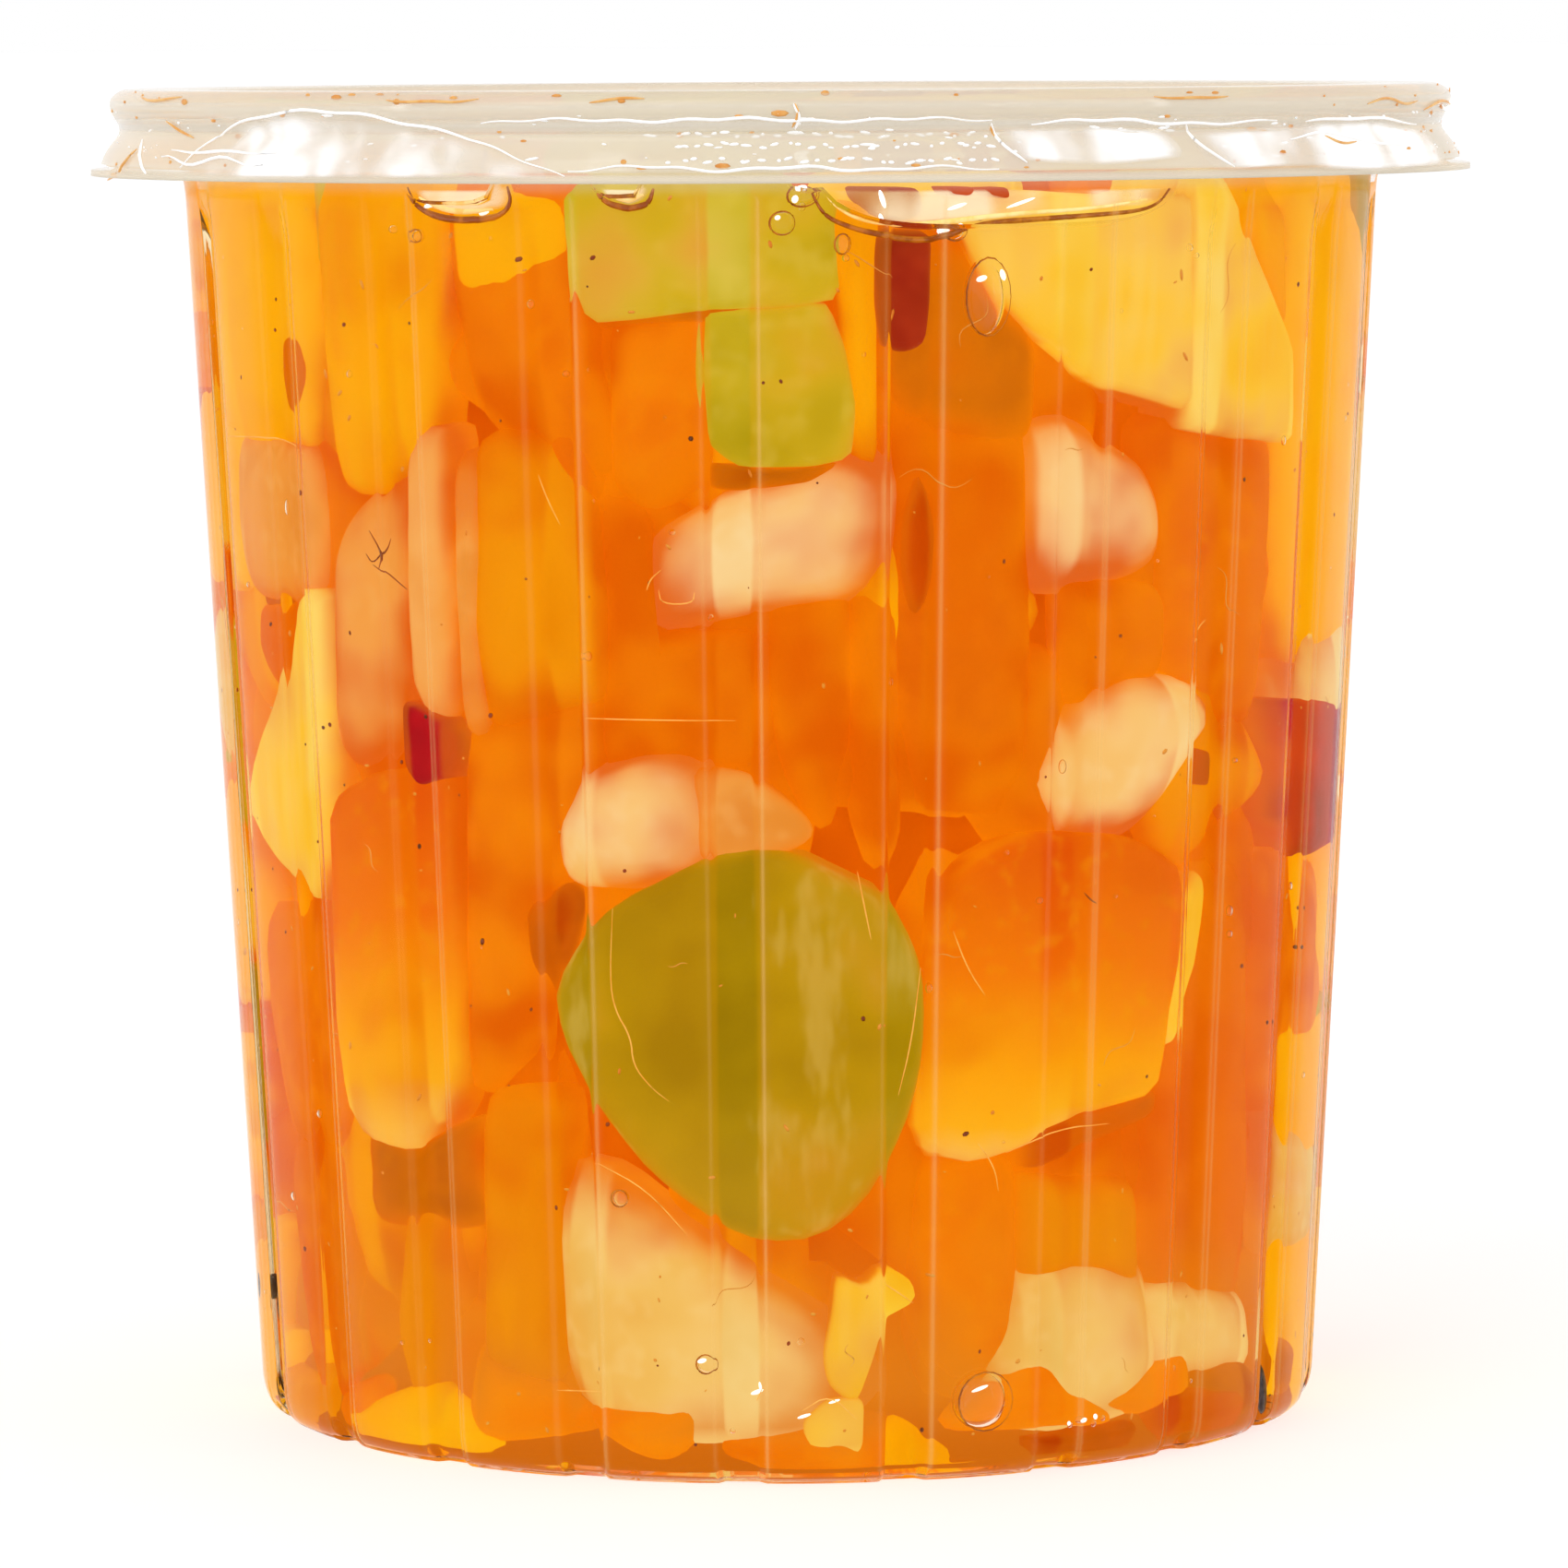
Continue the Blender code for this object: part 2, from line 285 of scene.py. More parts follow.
def depths_in_juice(tree):
    """Thickness of juice up to the fluted wall, and up to the nearest of wall, floor and level."""
    x, y, z = add(tree, "ShaderNodeSeparateXYZ", {0: place_of(tree)}).outputs
    radius = maths(tree, "SQRT", plus(tree, times(tree, x, x), times(tree, y, y)))
    azimuth = maths(tree, "ARCTAN2", x, times(tree, y, -1.0))
    turns = times(tree, azimuth, math.degrees(1.0) / PITCH)
    phase = maths(tree, "FRACT", minus(tree, turns, RIDGE_START / PITCH))
    down = remap(tree, phase, RIDGE_WIDTH / PITCH, (RIDGE_WIDTH + FLANK) / PITCH, 0.0, GROOVE_DEPTH)
    up = remap(tree, phase, (GROOVE_END - FLANK / 2) / PITCH, 1.0, 1.0, 0.0)
    wall = plus(tree, times(tree, z, WALL_SPREAD), WALL_RADIUS_AT_TABLE - SHEET)
    from_wall = minus(tree, minus(tree, wall, times(tree, down, up)), radius)
    from_level = minus(tree, JUICE_LEVEL, z)
    from_floor = minus(tree, z, FLOOR_PANEL)
    return from_wall, maths(tree, "MINIMUM", maths(tree, "MINIMUM", from_wall, from_level), from_floor)


def settled(tree, colour):
    """The colour, turned towards that of settled pulp near the foot."""
    share = remap(tree, height_of(tree), *SETTLED_HEIGHTS, SETTLED_SHARE, 0.0)
    return mix_colour(tree, share, colour, SETTLED)


def in_juice(tree, colour, swirl, cloudiness, fade):
    """The colour pales behind the first of the cloudy juice, and sinks into it with depth."""
    from_wall, depth = depths_in_juice(tree)
    thin = remap(tree, from_wall, 0.5 * MM, 2.2 * MM, 0.0, 0.17)
    paler = mix_colour(tree, thin, colour, CLOUD)
    drift = times(tree, minus(tree, swirl, 0.5), CLOUD_DRIFT)
    haze = remap(tree, plus(tree, depth, drift), fade[0] * MM, fade[1] * MM, 0.0, cloudiness)
    juice = mix_colour(tree, remap(tree, swirl, 0.35, 0.65), JUICE, DEEP_JUICE)
    return mix_colour(tree, haze, paler, settled(tree, juice))


def shade_wet(tree, colour):
    """Fruit in juice doesn't shine. Part of its light is a painted glow in its own colour, the rest comes
    from the room.
    """
    lit = mix_colour(tree, 1.0, colour, (ROOM_SHARE, ROOM_SHARE, ROOM_SHARE), "MULTIPLY")
    # Emission paints a glow in the fruit's own colour
    shade(tree, {
        "Base Color": lit, "Roughness": 0.6, "Specular IOR Level": 0.0,
        "Emission Color": colour, "Emission Strength": PAINTED_GLOW})


def flesh(name, pale, middle, dark, stretch, cloudiness, fade):
    """Cut fruit: broad changes of colour, fine fibres, and a tint for each piece."""
    material, tree = new_material(name)
    broad = noise_value(tree, 85.0, 2.0)
    fibres = noise_value(tree, 420.0, 1.0, 0.6, stretch)
    tinted = plus(tree, times(tree, broad, 0.75), times(tree, attribute(tree, "tint"), 0.25))
    base = ramp(tree, tinted, (0.3, dark), (0.5, middle), (0.72, pale))
    streaked = mix_colour(tree, times(tree, remap(tree, fibres, 0.45, 0.75), 0.3), base, pale)
    shade_wet(tree, in_juice(tree, streaked, broad, cloudiness, fade))
    return material


def melon_flesh():
    """Melon slices run from deep orange flesh to a cream rim."""
    material, tree = new_material("melon_flesh")
    broad = noise_value(tree, 90.0, 2.0)
    band = plus(tree, attribute(tree, "across"), times(tree, minus(tree, broad, 0.5), 0.35))
    base = ramp(
        tree, band, (0.0, srgb(226, 72, 0)), (0.4, srgb(242, 112, 4)), (0.7, srgb(255, 165, 10)),
        (0.86, srgb(255, 182, 28)), (1.0, srgb(250, 204, 104)))
    grain = noise_value(tree, 500.0, 2.0)
    streaked = mix_colour(tree, remap(tree, grain, 0.5, 0.75, 0.0, 0.25), base, srgb(255, 172, 20))
    shade_wet(tree, in_juice(tree, streaked, broad, 0.95, CLEAR_FADE))
    return material


def grape_skin():
    """A peeled grape half: olive green with pale veins under a clear skin."""
    material, tree = new_material("grape_skin")
    broad = noise_value(tree, 60.0, 3.0)
    base = ramp(tree, broad, (0.3, srgb(150, 118, 4)), (0.5, srgb(176, 142, 8)), (0.75, srgb(198, 166, 44)))
    rim = remap(tree, attribute(tree, "across"), 0.55, 1.0, 0.0, 0.45)
    paler = mix_colour(tree, rim, base, srgb(196, 146, 34))
    veins = noise_value(tree, 210.0, 3.0, 0.7, (1.0, 1.0, 0.35))
    veined = mix_colour(tree, remap(tree, veins, 0.55, 0.72, 0.0, 0.45), paler, srgb(210, 180, 84))
    shade_wet(tree, in_juice(tree, veined, broad, 0.6, CLEAR_FADE))
    return material


def core_material():
    """The depth of the juice, with the shadows of pieces further in."""
    material, tree = new_material("deep_juice")
    broad = noise_value(tree, 48.0, 3.0, 0.6)
    warm = ramp(tree, broad, (0.3, srgb(204, 74, 0)), (0.5, srgb(226, 98, 0)), (0.7, srgb(238, 122, 2)))
    at_foot = remap(tree, height_of(tree), 1.0 * MM, 8.0 * MM, 1.0, 0.0)
    shade_wet(tree, mix_colour(tree, at_foot, settled(tree, warm), FOOT_SHADE))
    return material


def lamps_pass(item):
    """Clear pieces let the light of lamps and of the room through, so what they hold is lit."""
    item.visible_shadow = False
    item.visible_diffuse = False


def clear_plastic(name, veil, wave, bend):
    """Clear moulded plastic: a painted shade in its grooves, and a milky veil, uneven where wave is given,
    that glows and also paints the highlights on edges.
    """
    material, tree = new_material(name)
    # The grooves are painted a little darker and warmer, as shade
    clear = mix_colour(tree, attribute(tree, "groove_shade"), (0.99, 0.99, 0.99), GROOVE_SHADE)
    glass = add(tree, "ShaderNodeBsdfPrincipled", {
        "Base Color": clear, "Roughness": 0.0, "IOR": bend, "Transmission Weight": 1.0})
    on_rim = remap(tree, height_of(tree), 106.0 * MM, 107.5 * MM)
    # The milky veil glows, and it also paints the highlights on the edges of the ridges and the flange
    milk_and_highlight = add(tree, "ShaderNodeBsdfPrincipled", {
        "Base Color": mix_colour(tree, on_rim, EDGE_HIGHLIGHT_COLOUR, RIM_COLOUR), "Roughness": 0.4,
        "Emission Color": mix_colour(tree, on_rim, EDGE_HIGHLIGHT_COLOUR, RIM_GLOW), "Emission Strength": 0.24})
    # haze carries the milky veil and the painted highlights on the edges
    haze = attribute(tree, "haze")
    if wave:
        haze = times(tree, haze, plus(tree, noise_value(tree, wave, 1.0, 0.5, (1.0, 1.0, 0.4)), 0.5))
    body = add(tree, "ShaderNodeMixShader", {
        0: plus(tree, haze, veil), 1: glass.outputs[0], 2: milk_and_highlight.outputs[0]})
    add(tree, "ShaderNodeOutputMaterial", {"Surface": body.outputs[0]})
    return material


def juice_material():
    """Cloudy juice: a soft refraction, and an orange that deepens with the way through it."""
    material, tree = new_material("juice")
    cloudy = mix_colour(tree, noise_value(tree, 60.0, 1.0), (1.0, 0.97, 0.92), (1.0, 1.0, 0.99))
    output = shade(tree, {
        "Base Color": cloudy, "Roughness": 0.05, "IOR": JUICE_BEND, "Transmission Weight": 1.0,
        "Specular Tint": (0.15, 0.15, 0.15, 1.0)})
    depth = add(tree, "ShaderNodeVolumeAbsorption", {"Color": (1.0, 0.8, 0.2, 1.0), "Density": JUICE_DENSITY})
    tree.links.new(depth.outputs[0], output.inputs["Volume"])
    return material


def air_material():
    """The skin of a bubble: light bends outwards into the air that it holds."""
    material, tree = new_material("bubble_air")
    ripple = add(tree, "ShaderNodeBump", {
        "Height": noise_value(tree, 300.0, 2.0), "Distance": 0.05 * MM, "Strength": 0.2})
    shade(tree, {
        "Base Color": (1.0, 0.99, 0.97, 1.0), "Roughness": 0.0, "IOR": 0.78, "Transmission Weight": 1.0,
        "Normal": ripple.outputs[0]})
    return material


def spotted(name, colour, other, roughness=0.4, glow=0.1):
    """Small solid things: seeds, specks, fibres and films, and painted lines and highlights. Glow is a
    painted light in their colour.
    """
    material, tree = new_material(name)
    base = mix_colour(tree, remap(tree, noise_value(tree, 700.0), 0.4, 0.65), colour, other)
    shade(tree, {
        "Base Color": base, "Roughness": roughness, "Emission Color": base, "Emission Strength": glow})
    return material


def film_material(name, low, high, thin, thick):
    """A wrinkled film: cloudy in patches, clearer between them and at its edge, with a painted glow in its
    own tone.
    """
    material, tree = new_material(name)
    cloud = noise_value(tree, 130.0, 2.0, 0.6, (1.0, 1.0, 0.5))
    tone = ramp(tree, cloud, (0.35, low), (0.55, high))
    edge = remap(tree, attribute(tree, "outward"), 0.72, 1.0, 1.0, 0.1)
    cover = times(tree, remap(tree, cloud, 0.36, 0.6, thin, thick), edge)
    shade(tree, {
        "Base Color": tone, "Roughness": 0.3, "Alpha": cover,
        "Emission Color": tone, "Emission Strength": 0.45})
    return material


# Meshes

def link(item):
    bpy.context.scene.collection.objects.link(item)


def mesh_object(name, points, faces, material, attributes=None):
    """A smooth piece on the part's one body. Points that meet are joined, and faces turned outwards."""
    mesh = bpy.data.meshes.new(name)
    mesh.from_pydata([tuple(point) for point in points], [], faces)
    mesh.validate()
    for key, values in (attributes or {}).items():
        layer = mesh.attributes.new(key, "FLOAT", "POINT")
        layer.data.foreach_set("value", np.asarray(values, np.float32))
    mesh.shade_smooth()
    mesh.materials.append(material)
    item = bpy.data.objects.new(name, mesh)
    link(item)
    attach(item, "root")
    joined = bmesh.new()
    joined.from_mesh(mesh)
    bmesh.ops.remove_doubles(joined, verts=joined.verts, dist=0.0005 * MM)
    bmesh.ops.recalc_face_normals(joined, faces=joined.faces)
    joined.to_mesh(mesh)
    joined.free()
    return item


def strip_faces(rows, columns, start=0):
    """Quads between rows of points that run round a closed ring of columns."""
    faces = []
    for row in range(rows - 1):
        for column in range(columns):
            a = start + row * columns + column
            b = start + row * columns + (column + 1) % columns
            faces.append((a, b, b + columns, a + columns))
    return faces


def fillet(points, radius, steps=4):
    """Round each inner corner of a profile."""
    result = [points[0]]
    for before, corner, after in zip(points, points[1:], points[2:]):
        before, corner, after = (np.array(p, float) for p in (before, corner, after))
        back, ahead = before - corner, after - corner
        reach = min(radius, 0.45 * np.linalg.norm(back), 0.45 * np.linalg.norm(ahead))
        first = corner + back / np.linalg.norm(back) * reach
        last = corner + ahead / np.linalg.norm(ahead) * reach
        for t in np.linspace(0, 1, steps + 1):
            result.append((1 - t) ** 2 * first + 2 * t * (1 - t) * corner + t ** 2 * last)
    result.append(points[-1])
    return np.array(result, float)


def subdivided(points, longest):
    """Split long stretches of a profile."""
    result = [points[0]]
    for start, end in zip(points, points[1:]):
        count = max(1, int(math.ceil(np.linalg.norm(end - start) / longest)))
        result.extend(start + (end - start) * step / count for step in range(1, count + 1))
    return np.array(result)


def left_normals(line):
    """Unit normals that point inwards from a profile that runs down its outer side."""
    along = np.gradient(line, axis=0)
    along /= np.linalg.norm(along, axis=1, keepdims=True)
    return np.stack((along[:, 1], -along[:, 0]), axis=1)


def smoothstep(value, low, high):
    t = np.clip((value - low) / (high - low), 0, 1)
    return t * t * (3 - 2 * t)


def flute_stations():
    """Azimuths in degrees of the columns of points: close together on the flanks."""
    shoulder = np.array(EDGE_STEPS)
    ridge = np.linspace(SHOULDER, RIDGE_WIDTH - SHOULDER, 7)[:-1]
    second = np.array([RIDGE_WIDTH - SHOULDER, *(RIDGE_WIDTH - step for step in EDGE_STEPS[:0:-1])])
    down = np.linspace(RIDGE_WIDTH, RIDGE_WIDTH + FLANK, 7)[:-1]
    floor = np.linspace(RIDGE_WIDTH + FLANK, GROOVE_END - FLANK / 2, 5)[:-1]
    up = np.linspace(GROOVE_END - FLANK / 2, PITCH, 7)[:-1]
    pitch = np.concatenate((shoulder, ridge, second, down, floor, up))
    return np.concatenate([RIDGE_START + PITCH * number + pitch for number in range(FLUTES)])


def groove_at(azimuth):
    """How far the wall steps in at an azimuth in degrees, as a share of the groove's depth."""
    phase = np.mod(np.asarray(azimuth) - RIDGE_START, PITCH)
    down = smoothstep(phase, RIDGE_WIDTH, RIDGE_WIDTH + FLANK)
    up = smoothstep(phase, GROOVE_END - FLANK / 2, PITCH)
    edge = np.minimum(phase, np.abs(RIDGE_WIDTH - phase))
    shoulder = np.clip(1 - edge / SHOULDER, 0, 1) * (phase < RIDGE_WIDTH) * SHOULDER_DEPTH / GROOVE_DEPTH
    flat = SHOULDER_DEPTH / GROOVE_DEPTH
    return np.where(phase < RIDGE_WIDTH, shoulder, flat + (1 - flat) * down * (1 - up))


def groove_strength(z):
    """1 along the wall, a little less at the foot, falling to 0 under the rim."""
    above_foot = GROOVE_AT_FOOT + (1 - GROOVE_AT_FOOT) * smoothstep(z, *GROOVE_BOTTOM)
    return above_foot * (1 - smoothstep(z, *GROOVE_TOP))


def ring_points(radius, z, azimuths):
    return np.stack((radius * np.sin(azimuths), -radius * np.cos(azimuths), z), axis=-1)


def sheet_object(name, line, thickness, azimuths, press, material, haze):
    """A turned sheet with a thickness; press(azimuths, z) gives how far it steps in."""
    inner = line + left_normals(line) * thickness
    inner[:, 0] = np.maximum(inner[:, 0], 0.0)
    profile = np.concatenate((inner[::-1], line))
    rows, veil, tinted = [], [], []
    for radius, z in profile:
        heights = np.full(len(azimuths), z)
        stepped = radius - press(azimuths, z) * (radius > MM)
        rows.append(ring_points(np.maximum(stepped, 0.0), heights, np.radians(azimuths)))
        veil.append(haze(azimuths, heights))
        # The groove's share of depth, which paints the grooves darker as shade
        tinted.append(press(azimuths, z) / GROOVE_DEPTH)
    attributes = {"haze": np.concatenate(veil), "groove_shade": np.concatenate(tinted)}
    faces = strip_faces(len(profile), len(azimuths))
    return mesh_object(name, np.concatenate(rows), faces, material, attributes)


# The tub and its lid

def in_metres(profile):
    """Radii and heights given in mm."""
    return [(radius * MM, height * MM) for radius, height in profile]


def cup_line():
    """From the flange's tip, over the hollow rim, down the wall and in over the floor."""
    wall = [(wall_radius(z), z) for z in (WALL_TOP, WALL_FOOT)]
    corners = in_metres(CUP_RIM) + wall + in_metres(CUP_FOOT)
    return subdivided(fillet(corners, 0.9 * MM), 3.0 * MM)


def cup_press(azimuths, z):
    return GROOVE_DEPTH * groove_at(azimuths) * groove_strength(np.full(len(azimuths), z))


def no_press(azimuths, z):
    """The lid has no flutes."""
    return np.zeros(len(azimuths))


def cup_milk_and_highlights(azimuths, z):
    """The stretched rim is milky, and the flange's edge and the edges of the ridges get painted highlights.
    """
    # Painted highlights: a bright line along the flange's edge and thin lines on the edges of the ridges
    edge = 0.7 * (np.abs(z - FLANGE_UNDERSIDE) < 0.45 * MM)
    phase = np.mod(azimuths - RIDGE_START, PITCH)
    first = np.exp(-(np.minimum(phase, PITCH - phase) / RIDGE_HIGHLIGHT_WIDTH) ** 2)
    second = SECOND_HIGHLIGHT_SHARE * np.exp(-((phase - RIDGE_WIDTH) / RIDGE_HIGHLIGHT_WIDTH) ** 2)
    line = RIDGE_HIGHLIGHT * (first + second) * (z < WALL_TOP) * (z > 1.0 * MM)
    return smoothstep(z, WALL_TOP, 109.0 * MM) * 0.25 + edge + line


def lid_line():
    """From the middle of the panel, up over the rim and down the skirt."""
    corners = [(0.0, LID_PANEL), *in_metres(LID_PANEL_RIM + LID_SKIRT)]
    return subdivided(fillet(corners, 0.7 * MM), 4.0 * MM)


def lid_haze(azimuths, z):
    """The lid's rim is milky, more so on its skirt, and its panel is clear."""
    skirt = smoothstep(-z, -115.2 * MM, -113.2 * MM)
    return (0.22 + 0.2 * skirt) * (np.abs(z - LID_PANEL) > 0.5 * MM)


def make_tub():
    plastic = clear_plastic("clear_cup_plastic", 0.0, 0.0, 1.03)
    cup = sheet_object(
        "clear_cup", cup_line(), SHEET, flute_stations(), cup_press, plastic, cup_milk_and_highlights)
    lamps_pass(cup)
    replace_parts(cup, "cup")
    lid_plastic = clear_plastic("clear_lid_plastic", 0.06, 60.0, 1.45)
    lid = sheet_object(
        "clear_lid", lid_line(), LID_SHEET, np.arange(0.0, 360.0, 1.5), no_press, lid_plastic,
        lid_haze)
    lamps_pass(lid)
    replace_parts(lid, "lid")


# Fruit

def inner_limit(z):
    """The greatest radius of the fruit at height z, just inside the grooves."""
    corner = np.maximum(0.0, WALL_FOOT - z) * 0.8
    return wall_radius(z) - GROOVE_DEPTH - SHEET - 0.25 * MM - corner


def wall_point(u, v, depth):
    """A point behind the wall, from the distance along it, the height and the depth."""
    z = min(max(v, FLOOR_PANEL), FRUIT_TOP)
    azimuth = u / UNROLL
    radius = max(1.0 * MM, inner_limit(z) - depth)
    return (radius * math.sin(azimuth), -radius * math.cos(azimuth), z)


def top_point(u, v, depth):
    """A point under the lid."""
    return (u, v, JUICE_LEVEL + 0.8 * MM - depth)


def floor_point(u, v, depth):
    """A point over the floor."""
    return (u, v, 2.3 * MM + depth)


def smooth_outline(outline, radius, count=44):
    """Round the corners of a closed outline, and space its points evenly."""
    points = np.array(outline, float)
    middle = (points[0] + points[-1]) / 2
    points = fillet([middle, *points, middle], radius)[:-1]
    closed = np.vstack((points, points[:1]))
    along = np.concatenate(([0], np.cumsum(np.linalg.norm(np.diff(closed, axis=0), axis=1))))
    at = np.linspace(0, along[-1], count, endpoint=False)
    return np.stack([np.interp(at, along, closed[:, axis]) for axis in (0, 1)], axis=1)


# Rings of a chunk, from the middle of its face to the middle of its back:
# share of the outline's size, share of the edge's rounding, share of the chunk's depth
BACK_RINGS = ((0.97, 1.0, 0.75), (0.85, 1.0, 0.95), (0.5, 1.0, 1.0))
CRISP_RINGS = (
    (0.3, -0.12, 0.0), (0.6, -0.06, 0.0), (0.8, 0.02, 0.0), (0.91, 0.12, 0.0), (0.96, 0.4, 0.0),
    (1.0, 1.0, 0.0), (1.01, 1.0, 0.35), *BACK_RINGS,
)
SOFT_RINGS = (
    (0.25, -0.05, 0.0), (0.5, 0.03, 0.0), (0.68, 0.14, 0.0), (0.83, 0.34, 0.0), (0.94, 0.64, 0.0),
    (1.0, 1.0, 0.0), (1.02, 1.0, 0.35), *BACK_RINGS,
)
DOME_RINGS = (
    (0.2, 0.0, 0.0), (0.4, 0.07, 0.0), (0.58, 0.19, 0.0), (0.74, 0.38, 0.0), (0.88, 0.65, 0.0),
    (1.0, 1.0, 0.0), (1.02, 1.0, 0.35), *BACK_RINGS,
)
# Edges rounded by more than this (mm) make a soft piece or a domed one
SOFT_EDGE = 2.1
DOME_EDGE = 2.9
# Lumps and ripples of the flesh: how many in a metre, and their height (mm)
LUMPS = 110
LUMP_HEIGHT = 0.45
RIPPLES = 420
RIPPLE_HEIGHT = 0.14
CHUNK_DEPTH = 11.0 * MM


class Kind:
    """Collects the pieces of one kind of fruit into one mesh."""

    def __init__(self, name, material, corner, edge):
        self.name, self.material = name, material
        self.corner, self.edge = corner * MM, edge * MM
        self.rings = DOME_RINGS if edge > DOME_EDGE else SOFT_RINGS if edge > SOFT_EDGE else CRISP_RINGS
        self.points, self.faces = [], []
        self.values = {"tint": [], "across": [], "outward": []}

    def add_chunk(self, outline, sink, dice, place=wall_point, depth=CHUNK_DEPTH, lean=None, relief=1.0):
        """A lumpy piece with this outline, sink behind the wall. Its colour changes along lean (degrees)."""
        outline = smooth_outline(outline, self.corner)
        middle = outline.mean(axis=0)
        lean = math.radians(lean if lean is not None else dice.uniform(0, 360))
        heading = np.array((math.cos(lean), math.sin(lean)))
        reach = max(np.abs((outline - middle) @ heading).max(), MM)
        tint = dice.random()
        shift = Vector((dice.uniform(0, 9), dice.uniform(0, 9), dice.uniform(0, 9)))
        start = len(self.points)
        for size, rounding, way in [(0.0, self.rings[0][1], 0.0), *self.rings, (0.0, 1.0, 1.0)]:
            ring = middle + (outline - middle) * size if size else middle[None, :]
            for u, v in ring:
                spot = Vector((u, v, way * depth))
                lump = noise.noise(spot * LUMPS + shift)
                ripple = noise.noise(spot * RIPPLES + shift)
                uneven = (lump * LUMP_HEIGHT + ripple * RIPPLE_HEIGHT) * MM * relief
                out = sink + rounding * self.edge + way * depth + uneven
                offset = (np.array((u, v)) - middle) * (1 + 0.05 * lump * (size > 0.9))
                self.points.append(place(*(middle + offset), max(out, 0.1 * MM * relief)))
                self.values["tint"].append(tint)
                self.values["across"].append(0.5 + 0.5 * (offset @ heading) / reach)
                self.values["outward"].append(size)
        self.add_faces(start, len(outline))

    def add_faces(self, start, count):
        """Faces over rings of count points, closed by a point at each end."""
        front, back = start + 1, len(self.points) - 1
        for column in range(count):
            following = (column + 1) % count
            self.faces.append((start, front + column, front + following))
        for face in strip_faces(len(self.rings), count, front):
            self.faces.append(face[::-1])
        last = back - count
        for column in range(count):
            following = (column + 1) % count
            self.faces.append((last + column, back, last + following))

    def build(self, slot="cut_fruit", node="fruit"):
        item = mesh_object(self.name, self.points, self.faces, self.material, self.values)
        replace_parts(item, node)


# The grain of flesh whose fibres stand upright, and of flesh that is even
UPRIGHT = (1.0, 1.0, 0.12)
EVEN = (1.0, 1.0, 1.0)

# Flesh of each kind, and rust and amber pieces of painted shadow: its outline's corners and its edge's
# rounding (mm), its pale, middle and dark colour, its grain, and how far and between which depths the juice
# hides it
FLESH = (
    ("mango_flesh", 2.2, 2.5, (255, 188, 14), (255, 172, 2), (244, 148, 0), UPRIGHT, 0.95, FIRM_FADE),
    ("golden_flesh", 2.6, 3.2, (250, 160, 8), (238, 140, 2), (226, 118, 0), UPRIGHT, 0.95, CLEAR_FADE),
    # Painted shadow, in rust, laid between and under pieces
    ("rust_shade", 2.0, 2.3, (214, 82, 2), (198, 68, 0), (178, 54, 0), EVEN, 0.95, SOFT_FADE),
    ("papaya_flesh", 3.0, 3.2, (252, 142, 8), (242, 116, 2), (226, 86, 0), EVEN, 0.95, CLEAR_FADE),
    ("papaya_deep_flesh", 3.0, 3.6, (242, 108, 4), (230, 88, 0), (208, 62, 0), EVEN, 0.95, CLEAR_FADE),
    ("pineapple_flesh", 1.0, 1.1, (255, 226, 120), (253, 204, 56), (250, 180, 14), UPRIGHT, 0.95, CLEAR_FADE),
    ("pale_flesh", 3.0, 4.2, (250, 220, 148), (239, 196, 106), (230, 170, 72), EVEN, 0.95, SOFT_FADE),
    ("honeydew_flesh", 0.8, 0.9, (226, 208, 86), (202, 182, 36), (170, 154, 10), EVEN, 0.7, CLEAR_FADE),
    ("cream_flesh", 3.0, 4.6, (254, 230, 176), (250, 214, 146), (244, 194, 108), EVEN, 0.95, SOFT_FADE),
    ("peach_flesh", 2.5, 2.2, (250, 188, 110), (240, 162, 80), (226, 134, 50), EVEN, 0.95, SOFT_FADE),
    ("berry_flesh", 0.8, 0.9, (206, 22, 30), (180, 16, 26), (130, 8, 22), EVEN, 0.6, CLEAR_FADE),
    ("plum_skin", 0.8, 0.9, (190, 60, 28), (160, 38, 18), (124, 24, 10), EVEN, 0.6, CLEAR_FADE),
    # Painted shadow, in amber, laid between and under pieces
    ("amber_shade", 3.0, 4.0, (224, 116, 4), (206, 96, 2), (180, 74, 0), EVEN, 0.8, CLEAR_FADE),
)


def make_kinds():
    """Every kind of fruit, and the pieces of painted shadow, by its name."""
    table = []
    for name, corner, edge, pale, middle, dark, *rest in FLESH:
        material = flesh(name, srgb(*pale), srgb(*middle), srgb(*dark), *rest)
        table.append((name.rpartition("_")[0], material, corner, edge))
    table.append(("melon", melon_flesh(), 2.0, 1.2))
    table.append(("grape", grape_skin(), 3.0, 1.9))
    return {name: Kind("fruit_" + name, material, corner, edge) for name, material, corner, edge in table}
